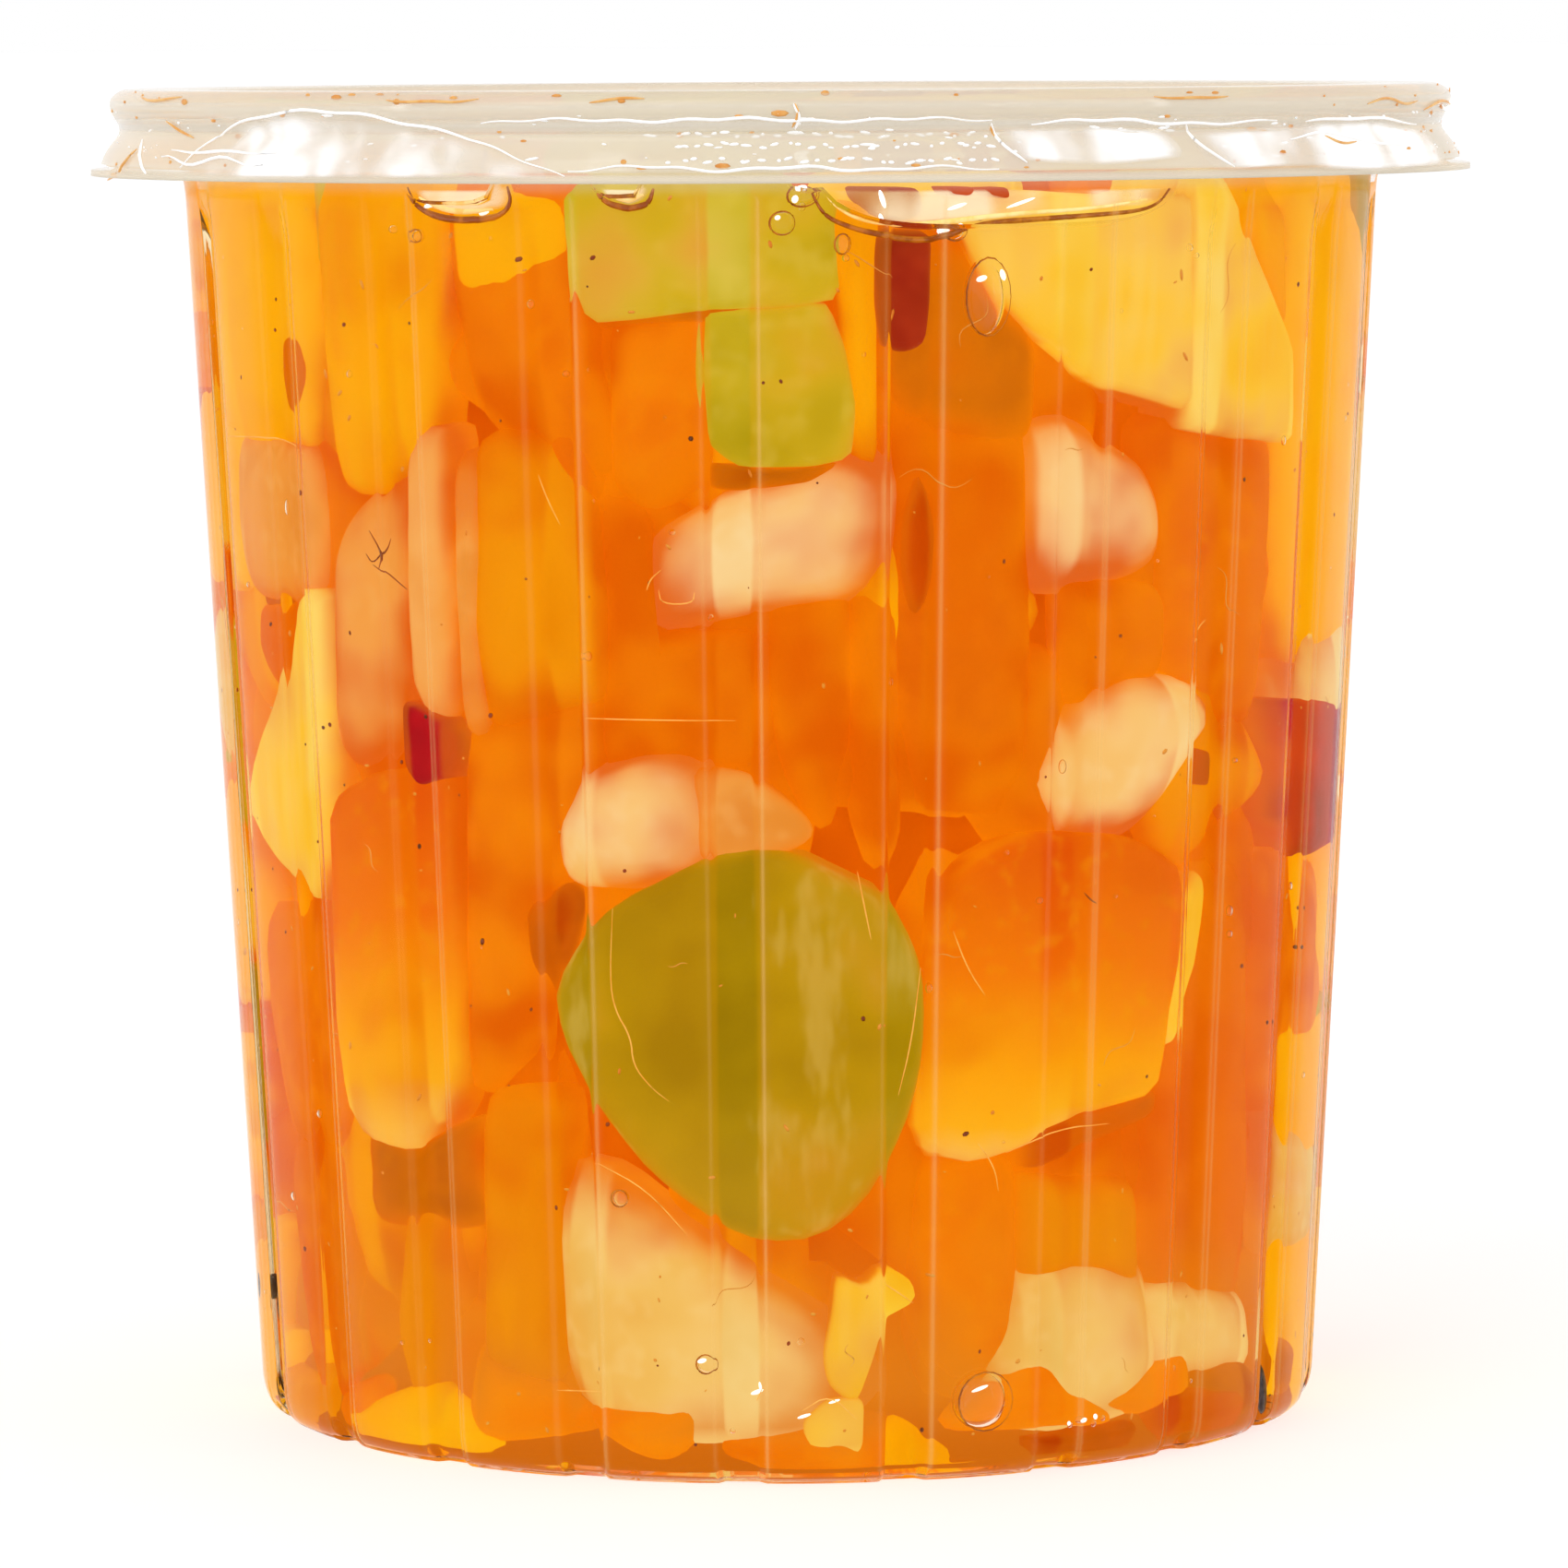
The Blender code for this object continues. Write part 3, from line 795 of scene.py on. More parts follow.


# Pieces against the front of the wall, with rust and amber pieces of painted shadow among them: kind,
# how far behind the wall (mm), and the corners of its face as pixels of the photo
FRONT = (
    ("mango", 0.8, ((214, 210), (312, 208), (318, 330), (304, 478), (262, 488), (238, 470), (222, 330))),
    ("amber", 1.0, ((282, 330), (314, 345), (312, 430), (298, 474), (284, 430))),
    ("mango", 0.6, ((325, 210), (455, 210), (452, 330), (440, 470), (400, 525), (352, 530), (338, 400))),
    ("papaya", 2.6, ((400, 300), (424, 330), (428, 460), (410, 530), (372, 520), (368, 400))),
    ("papaya", 1.2, ((465, 216), (604, 226), (612, 330), (628, 430), (626, 500), (560, 478), (500, 440),
        (476, 330))),
    ("mango", 0.9, ((470, 212), (596, 222), (600, 290), (540, 330), (480, 318))),
    ("papaya_deep", 3.0, ((566, 408), (622, 440), (628, 545), (596, 548), (568, 500))),
    ("honeydew", 0.7, ((614, 212), (690, 207), (800, 207), (888, 215), (900, 268), (905, 322), (850, 330),
        (760, 334), (690, 344), (636, 348), (618, 300))),
    ("honeydew", 0.9, ((758, 345), (896, 335), (914, 380), (926, 440), (922, 494), (880, 503), (800, 503),
        (762, 476), (756, 410))),
    ("amber", 1.4, ((640, 334), (760, 328), (850, 326), (850, 344), (760, 350), (645, 356))),
    ("papaya", 1.4, ((652, 356), (754, 350), (757, 500), (738, 524), (690, 545), (655, 520))),
    ("amber", 1.2, ((757, 505), (860, 510), (924, 500), (900, 526), (800, 534), (757, 528))),
    ("mango", 1.6, ((904, 222), (956, 232), (957, 500), (930, 492), (915, 350))),
    ("plum", 0.6, ((955, 262), (1016, 262), (1014, 326), (1008, 372), (984, 382), (962, 374), (955, 330))),
    ("plum", 0.5, ((930, 205), (1002, 205), (1004, 234), (976, 240), (950, 230), (934, 216))),
    ("amber", 1.2, ((1015, 262), (1056, 268), (1100, 330), (1140, 370), (1136, 470), (1064, 470), (990, 430),
        (962, 392))),
    ("berry", 0.15, ((1030, 203), (1062, 203), (1058, 213), (1036, 212))),
    ("berry", 0.15, ((1072, 204), (1098, 203), (1100, 216), (1080, 212))),
    ("pineapple", 0.6, ((1050, 238), (1130, 216), (1270, 222), (1300, 215), (1302, 440), (1262, 428),
        (1200, 408), (1150, 366), (1092, 312))),
    ("pineapple", 0.8, ((1303, 212), (1350, 210), (1382, 300), (1412, 380), (1410, 472), (1345, 466),
        (1303, 458))),
    ("mango", 1.4, ((1356, 212), (1412, 214), (1412, 370), (1388, 300))),
    ("mango", 0.7, ((1422, 212), (1478, 212), (1480, 400), (1470, 560), (1458, 700), (1418, 700),
        (1416, 400))),
    ("peach", 1.0, ((248, 470), (304, 484), (318, 520), (322, 600), (318, 636), (296, 650), (262, 640),
        (252, 560))),
    ("berry", 3.4, ((262, 624), (300, 616), (310, 640), (290, 654), (266, 656))),
    ("papaya_deep", 1.6, ((262, 655), (320, 650), (308, 716), (292, 776), (276, 740), (264, 700))),
    ("pineapple", 0.5, ((312, 650), (336, 654), (338, 800), (334, 900), (326, 976), (308, 944), (284, 906),
        (272, 872), (274, 830), (292, 762))),
    ("peach", 1.1, ((344, 590), (376, 542), (420, 520), (425, 640), (420, 760), (398, 802), (366, 826),
        (344, 800))),
    ("peach", 1.3, ((418, 480), (456, 466), (462, 560), (465, 700), (462, 784), (428, 764), (421, 640))),
    ("berry", 0.4, ((424, 762), (462, 782), (482, 800), (480, 838), (444, 852), (426, 830))),
    ("golden", 0.6, ((500, 500), (560, 482), (616, 560), (631, 640), (631, 745), (560, 766), (514, 778),
        (500, 700))),
    ("peach", 1.8, ((470, 500), (500, 494), (502, 700), (510, 800), (482, 796), (474, 640))),
    ("cream", 0.5, ((690, 640), (706, 590), (758, 556), (845, 526), (925, 500), (970, 528), (960, 600),
        (930, 644), (845, 656), (757, 668), (712, 678))),
    ("papaya", 2.2, ((640, 560), (700, 575), (690, 690), (760, 690), (830, 690), (826, 820), (700, 826),
        (642, 830))),
    ("papaya_deep", 2.4, ((838, 655), (926, 645), (926, 800), (900, 892), (850, 842), (832, 740))),
    ("papaya_deep", 1.8, ((985, 480), (1130, 482), (1136, 700), (1130, 850), (1012, 850), (986, 700))),
    ("rust", 0.5, ((1004, 518), (1028, 560), (1022, 640), (1000, 672), (986, 620), (990, 560))),
    ("papaya", 3.0, ((932, 640), (985, 640), (990, 900), (960, 930), (930, 860))),
    ("cream", 1.2, ((1142, 486), (1185, 464), (1266, 506), (1288, 548), (1288, 606), (1240, 626),
        (1160, 634), (1142, 600))),
    ("papaya", 1.8, ((1192, 640), (1290, 640), (1290, 735), (1240, 740), (1200, 770), (1192, 700))),
    ("papaya", 1.4, ((1298, 482), (1402, 480), (1398, 640), (1386, 770), (1340, 745), (1300, 700))),
    ("cream", 0.5, ((1158, 850), (1189, 786), (1250, 739), (1323, 752), (1344, 778), (1312, 820),
        (1286, 872), (1240, 905), (1184, 900))),
    ("berry", 2.6, ((1322, 812), (1346, 818), (1344, 852), (1322, 850))),
    ("cream", 0.3, ((620, 846), (690, 824), (740, 828), (770, 880), (757, 940), (690, 956), (600, 954),
        (590, 900))),
    ("peach", 1.5, ((740, 836), (824, 846), (890, 906), (840, 932), (748, 938))),
    ("melon", 0.8, ((348, 880), (400, 846), (470, 850), (476, 950), (478, 1110), (480, 1152), (468, 1192),
        (430, 1238), (398, 1230), (368, 1206), (356, 1100))),
    ("papaya", 1.6, ((485, 800), (560, 776), (628, 760), (634, 850), (592, 920), (578, 1000), (560, 1060),
        (545, 1110), (500, 1160), (486, 1150))),
    ("rust", 0.9, ((556, 985), (600, 960), (620, 980), (600, 1040), (585, 1085), (562, 1050))),
    ("amber", 1.0, ((374, 1218), (430, 1244), (490, 1216), (486, 1322), (430, 1332), (378, 1320))),
    ("golden", 0.8, ((506, 1214), (590, 1214), (592, 1450), (560, 1500), (510, 1486))),
    ("golden", 1.2, ((418, 1300), (455, 1286), (458, 1520), (430, 1546), (410, 1450))),
    ("papaya", 1.6, ((298, 1240), (345, 1260), (352, 1400), (360, 1536), (330, 1530), (310, 1400))),
    ("papaya", 1.2, ((276, 1000), (330, 990), (340, 1120), (344, 1230), (300, 1226), (284, 1100))),
    ("pale", 0.5, ((578, 1330), (600, 1296), (660, 1300), (730, 1340), (811, 1396), (900, 1440), (930, 1490),
        (900, 1560), (811, 1582), (700, 1574), (630, 1520), (588, 1440))),
    ("pineapple", 0.3, ((912, 1388), (940, 1402), (962, 1380), (990, 1392), (998, 1412), (962, 1428),
        (950, 1470), (932, 1520), (902, 1502), (896, 1470), (906, 1430))),
    ("pineapple", 0.5, ((872, 1546), (900, 1522), (938, 1520), (936, 1578), (884, 1588))),
    ("melon", 0.8, ((1010, 1236), (1062, 1256), (1120, 1236), (1184, 1206), (1266, 1180), (1276, 1110),
        (1290, 1027), (1290, 950), (1230, 915), (1130, 920), (1050, 960), (1022, 1100))),
    ("pineapple", 1.6, ((1284, 1110), (1290, 1014), (1320, 950), (1330, 962), (1312, 1050), (1288, 1130))),
    ("rust", 0.5, ((1128, 1230), (1184, 1208), (1270, 1184), (1268, 1208), (1200, 1238), (1152, 1264),
        (1128, 1270))),
    ("papaya", 1.8, ((1020, 1280), (1120, 1276), (1122, 1480), (1060, 1500), (1010, 1440))),
    ("pale", 0.5, ((1092, 1480), (1120, 1410), (1190, 1362), (1262, 1384), (1280, 1470), (1262, 1530),
        (1180, 1560), (1110, 1552))),
    ("golden", 1.3, ((1134, 1290), (1256, 1290), (1258, 1400), (1200, 1380), (1140, 1392))),
    ("pale", 0.9, ((1258, 1410), (1310, 1390), (1372, 1404), (1376, 1480), (1310, 1506), (1262, 1496))),
    ("pale", 1.0, ((1396, 1206), (1432, 1220), (1436, 1290), (1424, 1372), (1402, 1350), (1394, 1280))),
    ("papaya_deep", 1.4, ((1288, 1130), (1312, 1000), (1375, 962), (1376, 1200), (1370, 1396), (1340, 1412),
        (1285, 1396))),
    ("berry", 0.1, ((1398, 760), (1450, 764), (1452, 830), (1440, 900), (1416, 924), (1402, 880),
        (1410, 820))),
    ("papaya", 1.6, ((1398, 940), (1440, 940), (1436, 1200), (1398, 1220))),
    ("rust", 0.2, ((1262, 1508), (1360, 1494), (1358, 1550), (1264, 1578))),
    ("rust", 0.3, ((1120, 1562), (1250, 1540), (1240, 1584), (1122, 1592))),
)
GRAPE = (
    (584, 1088), (613, 1025), (651, 977), (758, 938), (821, 924), (880, 926), (971, 967), (1012, 1059),
    (1018, 1120), (991, 1229), (937, 1307), (880, 1350), (800, 1352), (740, 1310), (700, 1277), (647, 1214),
    (603, 1137),
)

# Pieces reach a little under their neighbours
FRONT_GROWTH = 1.07
DOME_GROWTH = 1.2

# Pieces round the back, above and below follow rules
BACK_HEIGHTS = (9.0, 26.0, 44.0, 62.0, 80.0, 99.0)
BACK_KINDS = (
    "mango", "papaya", "pineapple", "cream", "peach", "honeydew", "papaya", "mango", "pale", "melon",
    "papaya_deep", "grape", "berry", "pineapple", "mango")
FILL_HEIGHTS = (8.0, 24.0, 41.0, 58.0, 75.0, 92.0)
FILL_KINDS = ("papaya", "mango", "papaya_deep", "papaya")
# The amber pieces at the foot are painted shadow
FOOT_KINDS = ("golden", "amber", "pale", "mango", "golden", "papaya", "amber")
SIDE_KINDS = ("mango", "golden", "pale", "mango")
# Azimuths in degrees, columns, heights (mm), kinds, least and greatest distance behind the wall (mm),
# and a factor on how tall they are: the back, what fills the gaps in front, the foot and the two sides
ROWS = (
    ((99.0, 261.0), 9, BACK_HEIGHTS, BACK_KINDS, (0.3, 2.8), 1.0),
    ((-104.0, 104.0), 11, FILL_HEIGHTS, FILL_KINDS, (3.6, 4.8), 1.0),
    ((-180.0, 165.0), 24, (3.0,), FOOT_KINDS, (0.2, 0.9), 0.45),
    ((-97.0, -86.0), 2, BACK_HEIGHTS, SIDE_KINDS, (0.2, 1.0), 1.0),
    ((86.0, 97.0), 2, BACK_HEIGHTS, SIDE_KINDS, (0.2, 1.0), 1.0),
)
# Rings of pieces under the lid and on the floor: radius (mm) and how many
TOP_RINGS = ((37.0, 10), (21.0, 6), (5.0, 2))
FLOOR_RINGS = ((32.0, 9), (17.0, 5), (3.0, 1))


def corners_on(place, pixels):
    """Places on the wall or the lid for a list of photo pixels."""
    return [place(x, y) for x, y in pixels]


def random_outline(u, v, width, tall, dice):
    """An uneven chunk outline with three to six corners, in metres."""
    corners = dice.choice((3, 4, 4, 4, 5, 6))
    turn = dice.uniform(0, 2 * math.pi)
    outline = []
    for number in range(corners):
        angle = turn + 2 * math.pi * (number + dice.uniform(-0.15, 0.15)) / corners
        reach = dice.uniform(0.55, 0.68)
        outline.append((u + math.cos(angle) * width * reach, v + math.sin(angle) * tall * reach))
    return outline


def add_rows(kinds, dice, azimuths, columns, heights, choice, sinks, scale):
    """Uneven rows of chunks along the wall between two azimuths in degrees."""
    low, high = azimuths
    step = (high - low) / (columns - 1)
    for row, height in enumerate(heights):
        for column in range(columns):
            azimuth = math.radians(low + step * (column - 0.4 * (row % 2)) + dice.uniform(-3, 3))
            width, tall = dice.uniform(16, 22) * MM, dice.uniform(16, 23) * MM * scale
            outline = random_outline(azimuth * UNROLL, (height + dice.uniform(-3, 3)) * MM, width, tall, dice)
            kinds[dice.choice(choice)].add_chunk(outline, dice.uniform(*sinks) * MM, dice)


def make_fruit():
    dice = random.Random(SEED)
    kinds = make_kinds()
    for kind, sink, corners in FRONT:
        outline = np.array(corners_on(on_wall, corners))
        middle = outline.mean(axis=0)
        growth = DOME_GROWTH if kinds[kind].rings is DOME_RINGS else FRONT_GROWTH
        kinds[kind].add_chunk(middle + (outline - middle) * growth, sink * MM, dice, lean=-90)
    kinds["grape"].add_chunk(corners_on(on_wall, GRAPE), 0.25 * MM, dice, depth=14 * MM, lean=-90)
    for row in ROWS:
        add_rows(kinds, dice, *row)
    for rings, place in ((TOP_RINGS, top_point), (FLOOR_RINGS, floor_point)):
        for radius, count in rings:
            for number in range(count):
                angle = 2 * math.pi * (number + dice.uniform(-0.15, 0.15)) / count
                u, v = radius * MM * math.cos(angle), radius * MM * math.sin(angle)
                size = dice.uniform(15, 20) * MM
                outline = random_outline(u, v, size, size, dice)
                kinds[dice.choice(BACK_KINDS)].add_chunk(
                    outline, dice.uniform(0.0, 2.5) * MM, dice, place=place, depth=9 * MM)
    for kind in kinds.values():
        kind.build()


# The core flares at the foot, where juice and pulp fill the corner: radius and height (mm)
CORE_FOOT = (
    (39.0, 8.0), (40.6, 5.0), (41.8, 3.0), (42.4, 1.6), (42.2, 0.9), (38.4, 0.8), (36.4, 2.0), (33.0, 4.5),
    (0.0, 4.5))


def lumpy_point(radius, z, azimuth):
    """A point of the core, which is smooth at its foot."""
    x, y = radius * math.sin(azimuth), -radius * math.cos(azimuth)
    swell = 1 + 0.05 * noise.noise(Vector((x, y, z)) * 75) * float(smoothstep(z, 6 * MM, 14 * MM))
    return (x * swell, y * swell, z)


def make_core():
    """The fruit further in, as one lumpy core that shows between the pieces."""
    profile = in_metres(((0.0, 103), (20, 103)))
    profile += [(float(inner_limit(z * MM)) - 7.5 * MM, z * MM) for z in range(100, 11, -4)]
    profile += in_metres(CORE_FOOT)
    azimuths = np.linspace(0, 2 * math.pi, 96, endpoint=False)
    points = [lumpy_point(radius, z, azimuth) for radius, z in profile for azimuth in azimuths]
    core = mesh_object("fruit_core", points, strip_faces(len(profile), len(azimuths)), core_material())
    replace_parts(core, "fruit")


# Juice and air

# Air trapped under the lid, which pushes the juice down at the wall:
# left and right end as pixels of the photo, and how far down it reaches (mm)
POCKETS = ((885, 1278, 4.6), (440, 545, 2.6), (640, 705, 2.0), (856, 884, 1.6))
POCKET_ROW = 230
POCKET_INNER = 34.0 * MM
# The surface sags away from the wall: distance from the wall (mm), and share of the sag
JUICE_SAG = 0.8 * MM
JUICE_INSETS = (
    (0.5, 0.5), (1.2, 0.8), (2.5, 1.0), (5, 1.0), (8, 1.0), (11, 1.0), (15, 1.0), (20, 1.0), (30, 1.0))


def pocket_depth(azimuth, radius):
    """How far trapped air pushes the juice down at a place."""
    drop = 0.0
    for left, right, deep in POCKETS:
        start = on_wall(left, POCKET_ROW)[0] / UNROLL
        end = on_wall(right, POCKET_ROW)[0] / UNROLL
        middle, half = (start + end) / 2, (end - start) / 2
        away = abs(math.remainder(azimuth - middle, 2 * math.pi)) / half
        side = max(0.0, 1 - away ** 4) ** 0.5 if away < 1 else 0.0
        inward = float(smoothstep(radius, POCKET_INNER, POCKET_INNER + 8 * MM))
        drop = max(drop, deep * MM * side * inward)
    return drop


def surface_height(azimuth, radius):
    """Height of the uneven surface where the juice meets the air."""
    ripple = noise.noise(Vector((math.sin(azimuth), math.cos(azimuth), radius * 40)) * 3)
    return JUICE_LEVEL - pocket_depth(azimuth, radius) + 0.25 * MM * ripple


def make_juice():
    """The juice fills the tub to its level and reaches just into the plastic."""
    azimuths = flute_stations()
    radians = np.radians(azimuths)
    grip = SHEET - JUICE_IN_WALL
    start = 5.0 * MM
    line = cup_line()
    inner = (line + left_normals(line) * grip)[line[:, 1] < start]
    rows = []
    for radius, z in inner[::-1]:
        press = cup_press(azimuths, z) * (radius > MM)
        rows.append(ring_points(np.maximum(radius, 0.0) - press, np.full(len(azimuths), z), radians))
    level = np.array([JUICE_LEVEL - pocket_depth(angle, 60 * MM) for angle in radians])
    for share in np.linspace(0, 1, 32)[1:]:
        z = start + (level - start) * share
        press = GROOVE_DEPTH * groove_at(azimuths) * groove_strength(z)
        rows.append(ring_points(wall_radius(z) - grip - press, z, radians))
    edge = np.linalg.norm(rows[-1][:, :2], axis=1)
    for inset, sag in JUICE_INSETS:
        radius = edge - inset * MM
        z = np.array([surface_height(angle, r) - sag * JUICE_SAG for angle, r in zip(radians, radius)])
        rows.append(ring_points(radius, z, radians))
    still = np.full(len(azimuths), JUICE_LEVEL - JUICE_SAG)
    rows.append(ring_points(np.zeros(len(azimuths)), still, radians))
    points = np.concatenate(rows)
    juice = mesh_object("juice", points, strip_faces(len(rows), len(azimuths)), juice_material())
    lamps_pass(juice)
    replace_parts(juice, "fruit")


def ball(middle, sizes, axes, rows, columns):
    """Points and faces of a small ellipsoid with the given half sizes along three axes."""
    points = []
    for row in range(rows + 1):
        polar = math.pi * row / rows
        for column in range(columns):
            turn = 2 * math.pi * column / columns
            local = (math.sin(polar) * math.cos(turn), math.sin(polar) * math.sin(turn), math.cos(polar))
            parts = (axis * size * part for axis, size, part in zip(axes, sizes, local))
            points.append(middle + sum(parts, Vector()))
    return points, [(a, d, c, b) for a, b, c, d in strip_faces(rows + 1, columns)]


class Scatter:
    """Collects many small ellipsoids into one mesh."""

    def __init__(self, name, material, slot="cut_fruit"):
        self.name, self.material, self.slot = name, material, slot
        self.points, self.faces = [], []

    def add(self, u, v, depth, width, tall, thick, turn=0.0, rows=6, columns=9, middle=None):
        """An ellipsoid of these half sizes, against the wall unless its middle is given."""
        azimuth = u / UNROLL
        along = Vector((math.cos(azimuth), math.sin(azimuth), 0.0))
        out = Vector((math.sin(azimuth), -math.cos(azimuth), 0.0))
        tilt = Matrix.Rotation(turn, 3, out)
        axes = (tilt @ along, tilt @ Vector((0.0, 0.0, 1.0)), out)
        middle = middle or Vector(wall_point(u, v, depth))
        points, faces = ball(middle, (width, tall, thick), axes, rows, columns)
        start = len(self.points)
        self.points.extend(points)
        self.faces.extend(tuple(start + corner for corner in face) for face in faces)

    def add_on_lid(self, u, v, depth, width, tall, thick, turn=0.0):
        self.add(u, v, 0.0, width, tall, thick, turn, 4, 7, Vector(lid_point(u, v, depth)))

    def build(self):
        return mesh_object(self.name, self.points, self.faces, self.material)


# Small things that lie anywhere round the wall
BUBBLE_COUNT = 90
PULP_COUNT = 300
SPECK_COUNT = 170
FIBRE_COUNT = 44
# Single bubbles: pixel, half width and half height (mm)
BUBBLES = (
    (848, 242, 0.95, 0.95), (1038, 254, 0.9, 0.7), (870, 214, 1.2, 0.9), (1074, 322, 1.8, 3.2),
    (1071, 1520, 2.5, 2.5), (764, 1480, 0.8, 0.8), (670, 1300, 0.7, 0.7), (448, 256, 0.6, 0.5),
    (568, 330, 0.45, 0.4), (1158, 832, 0.4, 0.6), (914, 265, 0.6, 0.8), (300, 550, 0.4, 0.7),
    (420, 248, 0.5, 0.35), (635, 712, 0.35, 0.4), (1178, 1540, 0.35, 0.3), (1190, 1544, 0.3, 0.3),
    (1168, 1546, 0.3, 0.25), (1200, 1538, 0.25, 0.25), (318, 1296, 0.5, 0.4),
)
# Where the juice meets trapped air a dark line is painted as shade, with a film of froth and a pale line
# painted as a highlight inside it, as pixels of the photo
MENISCUS = (
    ((878, 206), (884, 222), (898, 238), (926, 250), (956, 257), (1002, 262), (1034, 257), (1052, 248),
        (1080, 241), (1139, 237), (1192, 233), (1240, 229), (1262, 220), (1273, 204)),
    ((436, 204), (444, 224), (468, 238), (504, 242), (538, 236), (553, 221), (548, 204)),
    ((641, 204), (652, 222), (679, 229), (702, 223), (708, 206)),
)
AIR_FILMS = (
    ((886, 206), (1272, 204), (1256, 222), (1150, 230), (1050, 238), (960, 246), (912, 234)),
    ((440, 206), (550, 206), (548, 222), (504, 238), (456, 230)),
    ((646, 205), (704, 206), (696, 220), (679, 226), (658, 219)),
)
PALE_LINES = (
    ((890, 206), (904, 226), (930, 240), (960, 245), (1010, 243), (1048, 238), (1100, 232), (1190, 226),
        (1250, 216)),
    ((450, 214), (474, 230), (504, 234), (534, 228)),
    ((654, 212), (679, 221), (698, 213)),
)
# Small painted highlights: pixel, half width and half height (mm), all turned alike (radians)
GLINTS = (
    (464, 226, 0.7, 0.22), (524, 232, 0.5, 0.2), (868, 205, 0.6, 0.3), (861, 218, 0.3, 0.3),
    (1026, 252, 0.5, 0.28), (1044, 246, 0.3, 0.3), (1089, 298, 0.25, 0.5), (958, 216, 0.22, 0.8),
    (957, 238, 0.2, 0.5), (1066, 302, 0.5, 0.25), (690, 226, 0.4, 0.18), (843, 236, 0.25, 0.2),
    (1040, 224, 0.9, 0.16), (1110, 220, 1.4, 0.14), (822, 1510, 0.7, 0.2), (826, 1504, 0.2, 0.4),
    (1064, 1506, 0.8, 0.16), (760, 1476, 0.4, 0.2), (1178, 1540, 0.3, 0.2), (1164, 1544, 0.2, 0.2),
    (1190, 1536, 0.2, 0.25), (872, 1536, 0.6, 0.14), (905, 1520, 0.5, 0.12),
)
GLINT_TURN = 0.3
# Seeds: pixel, half width and half height (mm), turn in radians
SEEDS = (
    (301, 1416, 0.9, 2.0, 0.35), (1372, 1506, 1.0, 2.3, 0.25), (286, 1392, 0.5, 1.2, -0.2),
)


def anywhere(dice, low, high):
    """A random place round the wall, between two heights (mm)."""
    return dice.uniform(-math.pi, math.pi) * UNROLL, dice.uniform(low, high) * MM


def make_bubbles():
    bubbles = Scatter("bubbles", air_material())
    dice = random.Random(SEED + 1)
    for x, y, width, tall in BUBBLES:
        u, v = on_wall(x, y)
        thick = 0.55 * min(width, tall) * MM
        bubbles.add(u, v, thick + 0.05 * MM, width * MM, tall * MM, thick, rows=12, columns=24)
    for _ in range(BUBBLE_COUNT):
        u, v = anywhere(dice, 4, 106)
        size = dice.uniform(0.12, 0.4) * MM
        bubbles.add(u, v, size * 0.8, size, size * dice.uniform(0.7, 1.3), size * 0.7)
    lamps_pass(bubbles.build())


def rim_path(x, y, width, tall, steps=20):
    """A closed ring on the wall round a bubble at a pixel of the photo; half sizes in mm."""
    u, v = on_wall(x, y)
    turns = np.linspace(0, 2 * math.pi, steps)
    return [wall_point(u + width * MM * math.cos(t), v + tall * MM * math.sin(t), -0.1 * MM) for t in turns]


def make_menisci():
    """The rims of trapped air, painted as dark lines of shade and pale highlights, and the small painted
    highlights on it.
    """
    dice = random.Random(SEED + 5)
    # Painted shade: dark amber lines round the trapped air and round the larger bubbles
    amber = spotted("meniscus_amber", srgb(160, 80, 4), srgb(204, 124, 24), 0.2, 0.3)
    rims = [wall_path(pixels) for pixels in MENISCUS]
    thread("air_rims", rims, 0.27 * MM, amber)
    froth = film_material("air_film", srgb(250, 206, 120), srgb(255, 236, 196), 0.15, 0.6)
    air = Kind("air_films", froth, 1.2, 0.2)
    for pixels in AIR_FILMS:
        air.add_chunk(corners_on(on_wall, pixels), 0.1 * MM, dice, depth=0.1 * MM, relief=0.2)
    air.build()
    small = [rim_path(*bubble) for bubble in BUBBLES if bubble[2] > 0.5]
    thread("bubble_rims", small, 0.09 * MM, amber)
    # Painted highlights: pale lines inside the rims of trapped air
    pale = spotted("meniscus_pale", srgb(255, 226, 150), srgb(250, 206, 110), 0.2, 0.5)
    thread("air_gleams", [wall_path(pixels) for pixels in PALE_LINES], 0.24 * MM, pale)
    # Small painted highlights on the trapped air and the bubbles
    glints = Scatter("glints", spotted("glint", srgb(255, 255, 252), srgb(255, 250, 236), 0.2, 0.9))
    for x, y, width, tall in GLINTS:
        u, v = on_wall(x, y)
        glints.add(u, v, -0.15 * MM, width * MM, tall * MM, 0.1 * MM, GLINT_TURN, 6, 10)
    glints.build()


def make_specks():
    """Bits of pulp, pale and dark, that float close to the wall."""
    dice = random.Random(SEED + 2)
    pulp = Scatter("pulp_bits", spotted("pulp", srgb(252, 178, 60), srgb(246, 150, 30), glow=0.1))
    dark = Scatter("dark_specks", spotted("dark_speck", srgb(170, 70, 10), srgb(110, 50, 10)))
    for _ in range(PULP_COUNT):
        u, v = anywhere(dice, 3, 107)
        size = dice.uniform(0.06, 0.2) * MM
        pulp.add(u, v, dice.uniform(-0.1, 0.3) * MM, size * dice.uniform(1, 3), size, size * 0.5,
                 dice.uniform(0, math.pi), 4, 6)
    for _ in range(SPECK_COUNT):
        u, v = anywhere(dice, 3, 107)
        size = dice.uniform(0.08, 0.24) * MM
        dark.add(u, v, dice.uniform(-0.1, 0.2) * MM, size, size * dice.uniform(0.6, 1.6), size * 0.5,
                 dice.uniform(0, math.pi), 4, 6)
    pulp.build()
    dark.build()


